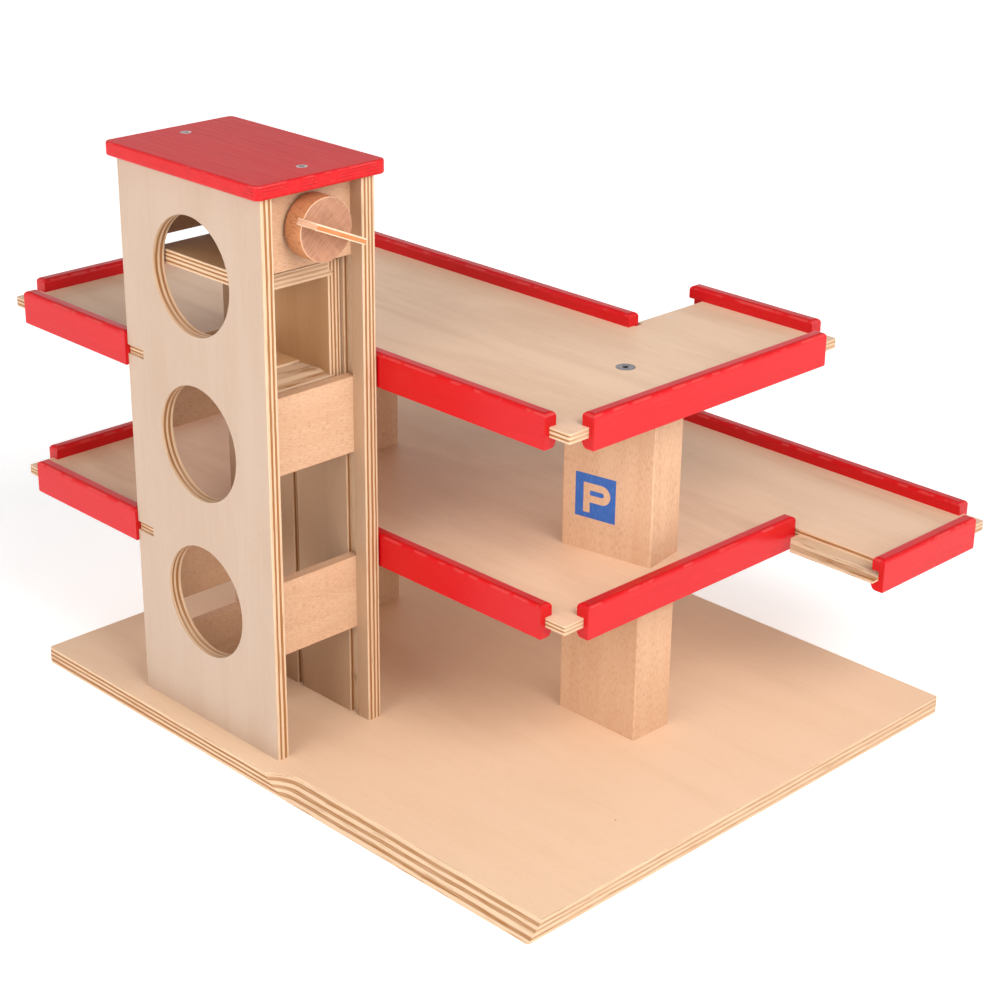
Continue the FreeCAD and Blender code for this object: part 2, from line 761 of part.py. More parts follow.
def make_cabin_runner():
    """The strip on the cabin's wall that slides in the right panel's guide groove."""
    half = GUIDE_GROOVE_WIDTH / 2 - RUNNER_SIDE_CLEARANCE
    return eased_block(
        cabin_right,
        cross_right - RUNNER_END_CLEARANCE,
        tower_mid_y - half,
        tower_mid_y + half,
        cabin_floor_under,
        cabin_top_z,
        vec(0, 0, 1),
        CABIN_EDGE_RADIUS,
    )


def ring(radius, bore, y0, y1):
    """A ring about the winding shaft's axis."""
    return lengthwise(shaft_x, shaft_z, y0, y1, radius).cut(
        lengthwise(shaft_x, shaft_z, y0 - 1, y1 + 1, bore)
    )


def turned_to_knob(shape):
    """A shape made level, turned about the shaft to the knob's angle at rest."""
    shape.rotate(vec(shaft_x, 0, shaft_z), vec(0, 1, 0), KNOB_GRIP_ANGLE)
    return shape


def knob_grip_box(extra_length):
    """The grip board set edgewise in the knob's face, as a level box."""
    half = KNOB_GRIP_LENGTH / 2 + extra_length
    return block(
        shaft_x - half,
        shaft_x + half,
        knob_front_y - KNOB_GRIP_REACH,
        knob_front_y + KNOB_GRIP_SEAT,
        shaft_z - KNOB_GRIP_THICKNESS / 2,
        shaft_z + KNOB_GRIP_THICKNESS / 2,
    )


def make_knob_disc():
    """The round beech knob, slotted for its grip and bored from behind for the shaft."""
    disc = lengthwise(shaft_x, shaft_z, knob_front_y, knob_back_y, KNOB_RADIUS)
    rims = [e for e in disc.Edges if e.Curve.TypeId == "Part::GeomCircle"]
    disc = disc.makeFillet(KNOB_EDGE_RADIUS, rims)
    disc = disc.cut(turned_to_knob(knob_grip_box(1.0)))
    bore = SHAFT_RADIUS + SEAT_FIT
    return disc.cut(lengthwise(shaft_x, shaft_z, shaft_front_y, knob_back_y + 1, bore))


def make_knob_grip():
    """The small plywood board that is gripped to turn the knob."""
    front = knob_front_y - KNOB_GRIP_REACH
    grip = ease(
        knob_grip_box(0.0), vec(0, 0, 1), KNOB_EDGE_RADIUS, lambda c: c.y < front + 0.01
    )
    return turned_to_knob(grip)


def pin_hole(y, radius, half_length):
    """An upright pin or pin hole through the shaft's axis."""
    return upright(shaft_x, y, shaft_z - half_length, shaft_z + half_length, radius)


def biarc(p0, t0, p1, t1):
    """Two tangent arcs between two points with given unit directions."""
    chord = p1 - p0
    both = t0 + t1
    spread = 2.0 * (1.0 - t0.dot(t1))
    along = chord.dot(both)
    reach = (math.sqrt(along ** 2 + spread * chord.dot(chord)) - along) / spread
    q0 = p0 + t0 * reach
    q1 = p1 - t1 * reach
    joint = (q0 + q1) * 0.5
    return [arc_by_corner(p0, q0, joint), arc_by_corner(joint, q1, p1)]


def arc_by_corner(start, corner, end):
    """The arc from start to end whose end tangents meet at a corner."""
    centre = (start + end) * 0.5
    half_chord = (end - start).Length / 2
    quarter = math.atan2((corner - centre).Length, half_chord) / 2
    share = math.tan(quarter) * half_chord / (corner - centre).Length
    return Part.Arc(start, centre + (corner - centre) * share, end).toShape()


def make_cord_winding():
    """The cord wound on the spool, one unbroken tube that ends where the free cord hangs down."""
    steps = CORD_TURNS * 4
    points = []
    for index in range(steps + 1):
        angle = math.pi / 2 * (index - steps)
        rise = CORD_PITCH / (2 * math.pi)
        place = vec(
            shaft_x + winding_radius * math.cos(angle),
            winding_start_y + CORD_PITCH * index / 4,
            shaft_z - winding_radius * math.sin(angle),
        )
        heading = vec(-winding_radius * math.sin(angle), rise, -winding_radius * math.cos(angle))
        heading.normalize()
        points.append((place, heading))
    edges = []
    for (p0, t0), (p1, t1) in zip(points, points[1:]):
        edges += biarc(p0, t0, p1, t1)
    path = Part.Wire(edges)
    start, heading = points[0]
    profile = Part.Wire(Part.makeCircle(CORD_RADIUS, start, heading))
    tube = path.makePipeShell([profile], True, False)
    length = path.Length
    print("cord winding: length %.1f mm, tube volume %.2f, section times length %.2f" % (
        length, tube.Volume, math.pi * CORD_RADIUS ** 2 * length))
    print("cord winding: least bend radius %.2f mm, least gap to itself %.2f mm" % (
        min(e.Curve.Radius for e in edges), least_gap(path, CORD_RADIUS)))
    return tube


def least_gap(path, radius):
    """The least gap between a tube's turns, measured on points along its centre line."""
    step = radius / 2
    points = path.discretize(Distance=step)
    apart = int(math.pi * winding_radius / step)
    least = 1e9
    for index, point in enumerate(points):
        for other in points[index + apart:]:
            least = min(least, point.distanceToPoint(other))
    return least - 2 * radius


def make_knot():
    """The knot that holds the cord under the cabin's roof board."""
    knot = Part.makeSphere(KNOT_RADIUS, vec(cord_x, cord_y, knot_top_z - KNOT_RADIUS / 2))
    flat = block(
        cord_x - KNOT_RADIUS,
        cord_x + KNOT_RADIUS,
        cord_y - KNOT_RADIUS,
        cord_y + KNOT_RADIUS,
        knot_top_z,
        knot_top_z + KNOT_RADIUS,
    )
    return knot.cut(flat)


def fastened(parts):
    """Adds screws, tie rods and nuts, and cuts their holes in what they hold."""
    roof_screws = []
    for y in (
        front_cross_y + CROSS_THICKNESS / 2,
        back_cross_y + CROSS_THICKNESS / 2 + REAR_ROOF_SCREW_SHIFT,
    ):
        screw, hole = countersunk_screw(
            tower_mid_x, y, tower_top + ROOF_THICKNESS, True,
            ROOF_SCREW_HEAD_RADIUS, ROOF_SCREW_SHANK_RADIUS, ROOF_SCREW_LENGTH,
        )
        roof_screws.append((screw, hole))
        for name in ("tower_roof", "knob_block", "back_top_block"):
            parts[name] = parts[name].cut(hole)
    parts["roof_screws"] = Part.makeCompound([screw for screw, _ in roof_screws])

    panel_screws = []
    for name, x in (
        ("tower_left_panel", (tower_left + cross_left) / 2),
        ("tower_right_panel", (cross_right + tower_right) / 2),
    ):
        for y in (tower_front + PANEL_SCREW_END_DISTANCE, tower_back - PANEL_SCREW_END_DISTANCE):
            screw, hole = countersunk_screw(
                x, y, 0.0, False,
                PANEL_SCREW_HEAD_RADIUS, PANEL_SCREW_SHANK_RADIUS, PANEL_SCREW_LENGTH,
            )
            panel_screws.append(screw)
            parts["base_plate"] = parts["base_plate"].cut(hole)
            parts[name] = parts[name].cut(hole)
    parts["panel_screws"] = Part.makeCompound(panel_screws)

    rods = []
    top_nuts = []
    foot_nuts = []
    rod_inset = TIE_NUT_SOCKET_DEPTH + 1
    for y in (front_pillar_y, rear_pillar_y):
        passage = upright(pillar_x, y, -1, upper_deck_top + 1, TIE_ROD_RADIUS + TIE_ROD_CLEARANCE)
        for name in ("base_plate", "lower_deck", "upper_deck"):
            parts[name] = parts[name].cut(passage)
        rods.append(upright(pillar_x, y, rod_inset, upper_deck_top - rod_inset, TIE_ROD_RADIUS))
        nut, pocket = make_tie_nut(pillar_x, y, upper_deck_top, True)
        top_nuts.append(nut)
        for name in list(parts):
            if name == "upper_deck" or name.startswith("upper_") and name.endswith("_pillar"):
                parts[name] = parts[name].cut(pocket)
        nut, pocket = make_tie_nut(pillar_x, y, 0.0, False)
        foot_nuts.append(nut)
        parts["base_plate"] = parts["base_plate"].cut(pocket)
    parts["tie_rods"] = Part.makeCompound(rods)
    parts["tie_rod_top_nuts"] = Part.makeCompound(top_nuts)
    parts["tie_rod_foot_nuts"] = Part.makeCompound(foot_nuts)
    return parts


def make_tower_parts():
    """Panels, cross pieces and roof."""
    bearing = lengthwise(
        shaft_x, shaft_z, front_cross_y - 1, tower_back, SHAFT_RADIUS + SHAFT_RUNNING_CLEARANCE
    )
    return {
        "tower_left_panel": make_left_panel(),
        "tower_right_panel": make_right_panel(),
        "tower_roof": make_roof(),
        "knob_block": make_cross_piece(front_cross_y, tower_top, CROSS_HEIGHT).cut(bearing),
        "front_rail_upper": make_cross_piece(front_cross_y, upper_deck_under, CROSS_HEIGHT),
        "front_rail_lower": make_cross_piece(front_cross_y, lower_deck_under, CROSS_HEIGHT),
        "back_top_block": make_cross_piece(back_cross_y, tower_top, CROSS_HEIGHT).cut(bearing),
        "back_rail_upper": make_cross_piece(back_cross_y, upper_deck_under, CROSS_HEIGHT),
        "back_rail_lower": make_cross_piece(back_cross_y, lower_deck_under, CROSS_HEIGHT),
        "back_sill": make_cross_piece(back_cross_y, base_top + SILL_HEIGHT, SILL_HEIGHT),
    }


def make_deck_parts():
    """Decks, their rails and the pillars between them."""
    parts = {"lower_deck": make_lower_deck(), "upper_deck": make_upper_deck()}
    parts.update(make_rails())
    for place, y, turn in (("front", front_pillar_y, SIGN_PILLAR_TURN), ("rear", rear_pillar_y, 0.0)):
        parts["lower_%s_pillar" % place] = make_pillar(pillar_x, y, base_top, lower_deck_under, 0.0)
        parts["upper_%s_pillar" % place] = make_pillar(
            pillar_x, y, lower_deck_top, upper_deck_under, turn
        )
    return parts


def make_cabin_parts():
    """The lift cabin and the knot that hangs it on the cord."""
    return {
        "cabin_side": make_cabin_side(),
        "cabin_top": make_cabin_top(),
        "cabin_floor": make_cabin_floor(),
        "cabin_runner": make_cabin_runner(),
        "cord_knot": make_knot(),
        "lift_cord": upright(cord_x, cord_y, knot_top_z, shaft_z - CORD_END_GAP, CORD_RADIUS),
    }


def make_drive_parts():
    """Knob, shaft, collar, spool, pins and wound cord."""
    collar_y = front_cross_back + COLLAR_GAP
    spool_y = tower_mid_y - SPOOL_INNER_WIDTH / 2 - SPOOL_FLANGE_THICKNESS
    flange = SPOOL_FLANGE_THICKNESS
    spool_length = SPOOL_INNER_WIDTH + 2 * flange
    bore = SHAFT_RADIUS + SEAT_FIT
    spool = ring(SPOOL_CORE_RADIUS, bore, spool_y, spool_y + spool_length)
    for y in (spool_y, spool_y + spool_length - flange):
        spool = spool.fuse(ring(SPOOL_FLANGE_RADIUS, bore, y, y + flange))
    spool = spool.removeSplitter()
    collar = ring(COLLAR_RADIUS, bore, collar_y, collar_y + COLLAR_LENGTH)
    shaft = lengthwise(shaft_x, shaft_z, shaft_front_y, shaft_back_y, SHAFT_RADIUS)
    pins = []
    for y, radius in (
        (collar_y + COLLAR_LENGTH / 2, COLLAR_RADIUS),
        (spool_y + flange / 2, SPOOL_FLANGE_RADIUS),
    ):
        pins.append(pin_hole(y, PIN_RADIUS, radius - 1))
        hole = pin_hole(y, PIN_RADIUS + SEAT_FIT, radius + 1)
        collar = collar.cut(hole)
        spool = spool.cut(hole)
        shaft = shaft.cut(hole)
    washer_y = knob_back_y
    return {
        "knob_disc": make_knob_disc(),
        "knob_grip": make_knob_grip(),
        "knob_washer": ring(WASHER_RADIUS, bore, washer_y, washer_y + WASHER_THICKNESS),
        "winding_shaft": shaft,
        "shaft_collar": collar,
        "cord_spool": spool,
        "drive_pins": Part.makeCompound(pins),
        "cord_winding": make_cord_winding(),
    }


def main():
    """Builds every piece and writes one file for each."""
    parts = {"base_plate": make_base()}
    parts.update(make_tower_parts())
    parts.update(make_deck_parts())
    parts.update(make_cabin_parts())
    parts.update(make_drive_parts())
    parts = fastened(parts)
    os.makedirs("parts", exist_ok=True)
    for name, shape in parts.items():
        shape.exportStep("parts/%s.step" % name)
    print("%d nodes, lift travel %.1f mm, drum radius %.2f mm" % (
        len(parts), lift_travel, winding_radius))
    print("shaft axis x %.2f z %.2f, cord at x %.2f y %.2f" % (shaft_x, shaft_z, cord_x, cord_y))


main()
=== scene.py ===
"""Wooden toy parking garage with a cord lift: finishes, sign, cords, floor, light and camera.

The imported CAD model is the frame. Its nodes keep their shapes and get layered plywood, beech,
lacquer and metal finishes here. The three cord pieces and the printed sign are modelled as
pieces of their own. All lengths are in metres.
"""

import logging
import math
from abc import ABC, abstractmethod
from contextlib import contextmanager
from dataclasses import dataclass
from enum import Enum
from typing import Callable, Iterable, Iterator, Optional, Sequence, Union

import bpy
from mathutils import Matrix, Vector


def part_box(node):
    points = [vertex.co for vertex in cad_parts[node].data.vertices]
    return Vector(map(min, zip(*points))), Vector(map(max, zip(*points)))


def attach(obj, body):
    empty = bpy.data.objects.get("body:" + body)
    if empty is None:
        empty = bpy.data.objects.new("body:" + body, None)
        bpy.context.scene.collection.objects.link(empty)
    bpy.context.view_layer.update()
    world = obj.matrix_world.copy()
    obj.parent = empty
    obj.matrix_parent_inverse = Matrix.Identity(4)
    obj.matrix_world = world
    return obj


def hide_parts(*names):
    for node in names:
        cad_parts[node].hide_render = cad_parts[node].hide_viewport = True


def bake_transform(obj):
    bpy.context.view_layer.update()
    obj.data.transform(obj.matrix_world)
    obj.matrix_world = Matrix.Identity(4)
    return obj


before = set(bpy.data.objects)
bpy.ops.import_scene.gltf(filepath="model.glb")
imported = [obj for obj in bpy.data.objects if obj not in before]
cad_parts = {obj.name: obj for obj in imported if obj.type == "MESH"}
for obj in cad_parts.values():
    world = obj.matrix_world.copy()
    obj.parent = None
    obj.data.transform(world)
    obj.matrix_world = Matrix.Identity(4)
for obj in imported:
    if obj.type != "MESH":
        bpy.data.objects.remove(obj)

LOG = logging.getLogger("garage")
MM = 0.001
SIGN_PILLAR_TURN_DEG = 10.5

Colour = tuple[float, float, float, float]
Number = Union[int, float]
Operand = Union["Term", Number]


def srgb(red: int, green: int, blue: int) -> Colour:
    """A colour, 0 to 255 a channel, as the shader's linear values.

    Args:
        red: Red from 0 to 255.
        green: Green from 0 to 255.
        blue: Blue from 0 to 255.

    Returns:
        The linear colour with full alpha.
    """

    def linear(channel: int) -> float:
        """One channel out of its display curve."""
        share = channel / 255
        return share / 12.92 if share <= 0.04045 else ((share + 0.055) / 1.055) ** 2.4

    return (linear(red), linear(green), linear(blue), 1.0)


def direction(azimuth_deg: float, elevation_deg: float) -> Vector:
    """The way from the object to a viewer or a lamp round it.

    Args:
        azimuth_deg: The angle round the object, from its front and towards its right.
        elevation_deg: The angle above the floor.

    Returns:
        The way, of length one.
    """
    azimuth, elevation = math.radians(azimuth_deg), math.radians(elevation_deg)
    return Vector((
        math.sin(azimuth) * math.cos(elevation),
        -math.cos(azimuth) * math.cos(elevation),
        math.sin(elevation),
    ))


class Axis(Enum):
    """The three directions of the frame."""

    X = 0
    Y = 1
    Z = 2

    def third(self, other: "Axis") -> "Axis":
        """The direction square to this one and the other."""
        return Axis(3 - self.value - other.value)


# ---- shader arithmetic


class Term:
    """A shader socket that takes part in Python arithmetic and adds its Math nodes."""

    def __init__(self, shader: "Shader", socket: Optional[bpy.types.NodeSocket]) -> None:
        """Wraps one output socket.

        Args:
            shader: The shader that the socket is part of.
            socket: The output socket, or None where a node has no output.
        """
        self.shader = shader
        self.socket = socket

    def math(self, operation: str, *others: Operand) -> "Term":
        """The result of a Math node on this term and others."""
        return self.shader.maths(operation, self, *others)

    def __add__(self, other: Operand) -> "Term":
        """Sum."""
        return self.math("ADD", other)

    def __sub__(self, other: Operand) -> "Term":
        """Difference."""
        return self.math("SUBTRACT", other)

    def __mul__(self, other: Operand) -> "Term":
        """Product."""
        return self.math("MULTIPLY", other)

    def __mod__(self, other: Operand) -> "Term":
        """Remainder."""
        return self.math("FLOORED_MODULO", other)

    def __abs__(self) -> "Term":
        """Magnitude."""
        return self.math("ABSOLUTE")

    def __radd__(self, other: Number) -> "Term":
        """Sum with the number first."""
        return self.shader.maths("ADD", other, self)

    def __rsub__(self, other: Number) -> "Term":
        """Difference with the number first."""
        return self.shader.maths("SUBTRACT", other, self)

    def squared(self) -> "Term":
        """The term times itself."""
        return self * self

    def ramp(self, start: float, end: float) -> "Term":
        """Zero before start and one after end, in an eased curve; start may be the larger."""
        if start > end:
            return 1 - self.ramp(end, start)
        return self.shader.node(
            "ShaderNodeMapRange",
            {"interpolation_type": "SMOOTHSTEP"},
            {"Value": self, "From Min": start, "From Max": end},
        )


Feed = Union[Term, Number, Sequence[float]]


@dataclass(frozen=True)
class Streaks:
    """Noise drawn out along one direction of the frame.

    Attributes:
        lengthways: Waves a metre along the direction.
        across: Waves a metre along the other two.
        detail: Octaves of finer noise.
        twist: How far the noise swirls.
    """

    lengthways: float
    across: float
    detail: float = 2.0
    twist: float = 0.0


class Shader:
    """A material under construction."""

    def __init__(self, name: str) -> None:
        """Makes an empty node material.

        Args:
            name: The material's name.
        """
        self.material = bpy.data.materials.new(name)
        self.material.use_nodes = True
        self.tree = self.material.node_tree
        self.tree.nodes.clear()

    def node(
        self,
        kind: str,
        settings: Optional[dict[str, str]] = None,
        inputs: Optional[dict[str, Feed]] = None,
        output: Optional[str] = None,
    ) -> Term:
        """Adds one node.

        Args:
            kind: The node's type name.
            settings: Properties of the node, set before its sockets.
            inputs: Values or terms for the sockets, by name or identifier.
            output: The name of the output wanted, or None for the first.

        Returns:
            The wanted output as a term.
        """
        made = self.tree.nodes.new(kind)
        for key, value in (settings or {}).items():
            setattr(made, key, value)
        for key, value in (inputs or {}).items():
            socket = next(s for s in made.inputs if key in (s.identifier, s.name) and s.enabled)
            if isinstance(value, Term):
                self.tree.links.new(value.socket, socket)
            else:
                socket.default_value = value
        usable = (s for s in made.outputs if s.enabled and output in (None, s.name))
        return Term(self, next(usable, None))

    def maths(self, operation: str, *terms: Operand) -> Term:
        """Adds a Math node on one or two terms."""
        keys = ("Value", "Value_001")
        return self.node("ShaderNodeMath", {"operation": operation}, dict(zip(keys, terms)))

    def mix(self, share: Operand, first: Feed, second: Feed) -> Term:
        """The first colour at share 0 and the second at share 1."""
        return self.node(
            "ShaderNodeMix",
            {"data_type": "RGBA"},
            {"Factor_Float": share, "A_Color": first, "B_Color": second},
        )

    def place(self) -> Term:
        """The point on the surface, in the frame."""
        return self.node("ShaderNodeTexCoord", output="Object")

    def facing(self) -> Term:
        """The direction that the surface faces, in the frame at rest."""
        return self.node("ShaderNodeTexCoord", output="Normal")

    def parts(self, vector: Term) -> tuple[Term, Term, Term]:
        """A vector's three parts."""
        split = self.node("ShaderNodeSeparateXYZ", None, {"Vector": vector}).socket.node
        return tuple(Term(self, socket) for socket in split.outputs)

    def scaled(self, vector: Term, scale: Sequence[float]) -> Term:
        """A point times a scale on each axis."""
        return self.node(
            "ShaderNodeVectorMath",
            {"operation": "MULTIPLY"},
            {"Vector": vector, "Vector_001": tuple(scale)},
        )

    def turned(
        self, vector: Term, turn: Sequence[float], centre: Sequence[float] = (0, 0, 0)
    ) -> Term:
        """A point in a piece's own turned directions, seen from its centre."""
        return self.node(
            "ShaderNodeMapping",
            {"vector_type": "TEXTURE"},
            {"Vector": vector, "Location": tuple(centre), "Rotation": tuple(turn)},
        )

    def noise(
        self, vector: Term, scale: float = 1.0, detail: float = 2.0, twist: float = 0.0
    ) -> Term:
        """Soft noise from 0 to 1 about 0.5, with a scale in waves a metre."""
        return self.node(
            "ShaderNodeTexNoise",
            {"noise_dimensions": "3D"},
            {"Vector": vector, "Scale": scale, "Detail": detail, "Distortion": twist},
        )

    def streaks(self, vector: Term, axis: Axis, drawn: Streaks) -> Term:
        """Soft noise from 0 to 1 about 0.5, drawn out along an axis."""
        scale = tuple(drawn.lengthways if i == axis.value else drawn.across for i in range(3))
        return self.noise(self.scaled(vector, scale), detail=drawn.detail, twist=drawn.twist)

    def bump(self, height: Term, depth: float, strength: float) -> Term:
        """A surface normal from a height from 0 to 1 and its real depth."""
        return self.node(
            "ShaderNodeBump", None, {"Height": height, "Distance": depth, "Strength": strength}
        )

    def finish(self, inputs: dict[str, Feed]) -> bpy.types.Material:
        """Closes the material with a Principled surface.

        Args:
            inputs: The surface's sockets.

        Returns:
            The finished material.
        """
        surface = self.node("ShaderNodeBsdfPrincipled", None, inputs)
        self.node("ShaderNodeOutputMaterial", None, {"Surface": surface})
        return self.material


# ---- finishes


@dataclass(frozen=True)
class Finish(ABC):
    """What a piece's surface is made of.

    Noises are named in capitals: as Streaks, as waves a metre and octaves where the noise is
    the same on every axis, or as waves a metre on X, Y and Z.
    """

    name: str

    def material(self) -> bpy.types.Material:
        """The finish as a node material.

        Returns:
            The finished material.
        """
        shader = Shader(self.name)
        return shader.finish(self.surface(shader))

    @abstractmethod
    def surface(self, s: Shader) -> dict[str, Feed]:
        """Lays the nodes of the finish.

        Args:
            s: The material under construction.

        Returns:
            What feeds each socket of the surface.
        """


@dataclass(frozen=True)
class Plywood(Finish):
    """Birch plywood: a pale lacquered face, and edges where pale and brown veneers take turns."""

    layered: Axis
    grain: Axis
    low: float
    high: float
    plies: int
    face: Colour = srgb(194, 170, 150)
    face_deep: Colour = srgb(179, 150, 125)
    pale_ply: Colour = srgb(211, 180, 148)
    brown_ply: Colour = srgb(150, 98, 50)
    glue: Colour = srgb(119, 75, 48)
    figure: float = 0.3
    wander: float = 0.16
    turn: float = 0.0
    centre: tuple[float, float, float] = (0.0, 0.0, 0.0)

    WAVES = Streaks(6, 13, 1.0)
    RIPPLE = Streaks(30, 110, 1.0)
    UNEVEN = Streaks(170, 3, 0.0)
    VEINS = Streaks(1500, 34)
    FINE = Streaks(24, 820)
    BROAD = Streaks(5, 80, 3.0, 0.4)
    FIGURE = Streaks(2.6, 13, 3.0, 1.6)
    PORES = Streaks(150, 1500, 0.0)
    DUST = (1500.0, 1.0)

    def surface(self, s: Shader) -> dict[str, Feed]:
        """Counts the plies through the board, then colours its faces and edges apart."""
        place, facing = s.place(), s.facing()
        if self.turn:
            place = s.turned(place, (0.0, self.turn, 0.0), self.centre)
            facing = s.turned(facing, (0.0, self.turn, 0.0))
        cross = self.layered.third(self.grain)
        depth = s.parts(place)[self.layered.value]
        normal = s.parts(facing)
        sheet = (depth - self.low) * (self.plies / (self.high - self.low))
        skin = sheet.math("MINIMUM", self.plies - sheet).ramp(0.06, 0.01)
        flat = normal[self.layered.value].squared().ramp(0.9, 0.99)
        edge = 1 - flat * skin
        waves = s.streaks(place, self.layered, self.WAVES) - 0.5
        ripple = s.streaks(place, self.layered, self.RIPPLE) - 0.5
        uneven = s.streaks(place, self.layered, self.UNEVEN) - 0.5
        level = sheet + waves * (2 * self.wander) + ripple * 0.14 + uneven * 0.9
        level = level.math("MAXIMUM", 0.01).math("MINIMUM", self.plies - 0.01)
        crossed = (0.5 - abs(level % 2 - 1.5)).ramp(0.02, 0.08)
        along_grain = normal[self.grain.value].squared()
        along_cross = normal[cross.value].squared()
        ends = along_grain * (1 - crossed) + along_cross * crossed
        seam = abs(level % 1 - 0.5).ramp(0.41, 0.5) * edge

        veins = s.streaks(place, self.layered, self.VEINS)
        fine = s.streaks(place, self.grain, self.FINE)
        broad = s.streaks(place, self.grain, self.BROAD)
        figure = s.streaks(place, self.grain, self.FIGURE)
        pores = s.streaks(place, self.grain, self.PORES).ramp(0.64, 0.74)
        dust = s.noise(place, *self.DUST)

        deepen = (figure - 0.5).ramp(-0.16, 0.2) * self.figure
        deepen = deepen + (broad - 0.5) * 0.45 + (fine - 0.5) * 0.4
        face = s.mix(deepen + pores * 0.22, self.face, self.face_deep)
        brown = crossed * (0.55 + ends * 0.4) + ends * 0.08 + (veins - 0.5) * 1.1
        brown = brown + (dust - 0.5) * 0.3 + veins.ramp(0.60, 0.68) * 0.35
        colour = s.mix(edge, face, s.mix(brown, self.pale_ply, self.brown_ply))
        colour = s.mix(seam * (0.35 + crossed * 0.25), colour, self.glue)
        height = fine * 0.5 + broad * 0.35 - pores * 0.5 - seam * 0.9 + (veins - 0.5) * edge
        return {
            "Base Color": colour,
            "Roughness": 0.5 + edge * 0.2 + (fine - 0.5) * 0.16,
            "Normal": s.bump(height, 0.05 * MM, 0.5),
            "Coat Weight": 0.08 - edge * 0.07,
            "Coat Roughness": 0.32,
            "Specular IOR Level": 0.36,
        }


@dataclass(frozen=True)
class Beech(Finish):
    """Solid beech: pinkish tan with short dark flecks that lie along the grain."""

    grain: Axis
    pale: Colour = srgb(208, 170, 137)
    deep: Colour = srgb(196, 150, 114)
    fleck: Colour = srgb(151, 97, 66)
    fleck_share: float = 0.34
    turn: float = 0.0

    RINGS = Streaks(2.5, 55, 3.0, 0.9)
    FINE = Streaks(40, 900)
    SHORT = Streaks(210, 2000, 1.0)
    CROWD = Streaks(14, 60, 1.0)
    DOTS = (1250.0, 0.0)

    def surface(self, s: Shader) -> dict[str, Feed]:
        """Flecks on the long faces, and dots and a deeper colour on the ends."""
        place, facing = s.place(), s.facing()
        if self.turn:
            place = s.turned(place, (0.0, 0.0, self.turn))
            facing = s.turned(facing, (0.0, 0.0, self.turn))
        end = s.parts(facing)[self.grain.value].squared().ramp(0.3, 0.9)
        rings = s.streaks(place, self.grain, self.RINGS)
        fine = s.streaks(place, self.grain, self.FINE)
        short = s.streaks(place, self.grain, self.SHORT)
        crowd = s.streaks(place, self.grain, self.CROWD)
        marks = (short + (crowd - 0.5) * 0.2).ramp(0.48, 0.66) * (1 - end)
        dots = s.noise(place, *self.DOTS).ramp(0.62, 0.72) * end
        colour = s.mix((rings - 0.5) * 1.3 + (fine - 0.5) * 0.6 + 0.3, self.pale, self.deep)
        colour = s.mix(marks * self.fleck_share + dots * 0.5, colour, self.fleck)
        colour = s.mix(end * 0.45, colour, self.deep)
        height = fine * 0.4 - marks * 0.7 - dots
        return {
            "Base Color": colour,
            "Roughness": 0.52 + (fine - 0.5) * 0.2 + marks * 0.1,
            "Normal": s.bump(height, 0.06 * MM, 0.5),
            "Coat Weight": 0.06,
            "Coat Roughness": 0.34,
            "Specular IOR Level": 0.36,
        }


@dataclass(frozen=True)
class RedLacquer(Finish):
    """Satin red lacquer over plywood, with the grain and the edges of the plies showing through."""

    layered: Axis
    grain: Axis
    low: float
    high: float
    plies: int
    red: Colour = srgb(194, 6, 15)
    deep: Colour = srgb(143, 3, 9)
    seam: Colour = srgb(96, 3, 8)
    # worn is the pale pink of real wear and also of a painted highlight and a painted sheen; dulled
    # also sets how much painted sheen pales the upward faces
    worn_and_highlight: Colour = srgb(204, 91, 87)
    dulled: float = 0.0

    WAVES = Streaks(5, 16, 1.0)
    BROKEN = Streaks(50, 55)
    GRAIN = Streaks(20, 640, 3.0)
    CLOUD = Streaks(9, 34, 3.0, 0.6)
    BALD = Streaks(60, 460)
    SPECKS = (820.0, 1.0)

    def surface(self, s: Shader) -> dict[str, Feed]:
        """Seams and wear on the board's edges, grain and dust on its faces, a painted highlight on
        the rounded top edges and, where dulled, a painted sheen that pales the upward faces.
        """
        place = s.place()
        depth = s.parts(place)[self.layered.value]
        normal = s.parts(s.facing())
        upward = normal[self.layered.value].squared()
        edge = 1 - upward.ramp(0.25, 0.95)
        waves = s.streaks(place, self.layered, self.WAVES) - 0.5
        level = (depth - self.low) * (self.plies / (self.high - self.low)) + waves * 0.35
        seam = abs(level % 1 - 0.5).ramp(0.36, 0.5) * edge
        broken = s.streaks(place, self.layered, self.BROKEN).ramp(0.44, 0.60)
        gap = seam * broken
        grain = s.streaks(place, self.grain, self.GRAIN)
        cloud = s.streaks(place, self.grain, self.CLOUD)
        specks = s.noise(place, *self.SPECKS).ramp(0.58, 0.72)
        bald = s.streaks(place, self.grain, self.BALD).ramp(0.60, 0.72)
        # Painted highlight: the upward slope of the rounded top edges is mixed towards pale pink,
        # as where light catches them
        rise = normal[Axis.Z.value]
        painted_arris_highlight = (rise * (1 - rise.squared())).ramp(0.2, 0.38) * broken.ramp(0.1, 0.9)
        colour = s.mix((cloud - 0.5) * 0.6 + (grain - 0.5) * 0.3, self.red, self.deep)
        # Partly real wear (specks, bald patches), partly painted light: the painted sheen on upward
        # faces and the painted highlight on the edges
        wear_and_highlight = specks * (0.12 + self.dulled * 0.2) + bald * 0.06
        wear_and_highlight = wear_and_highlight + upward * self.dulled * 0.05 + painted_arris_highlight * 0.34
        colour = s.mix(wear_and_highlight, colour, self.worn_and_highlight)
        colour = s.mix(gap * 0.8, colour, self.seam)
        height = grain * 0.6 + cloud * 0.3 - gap * 1.6 + bald * 0.3 + specks * self.dulled
        return {
            "Base Color": colour,
            "Roughness": 0.36 + upward * (self.dulled * 0.2) + (grain - 0.5) * 0.2 + gap * 0.1,
            "Normal": s.bump(height, 0.1 * MM, 0.5),
            "Coat Weight": 0.08 - upward * self.dulled * 0.08,
            "Coat Roughness": 0.22,
            "Specular IOR Level": 0.24,
        }


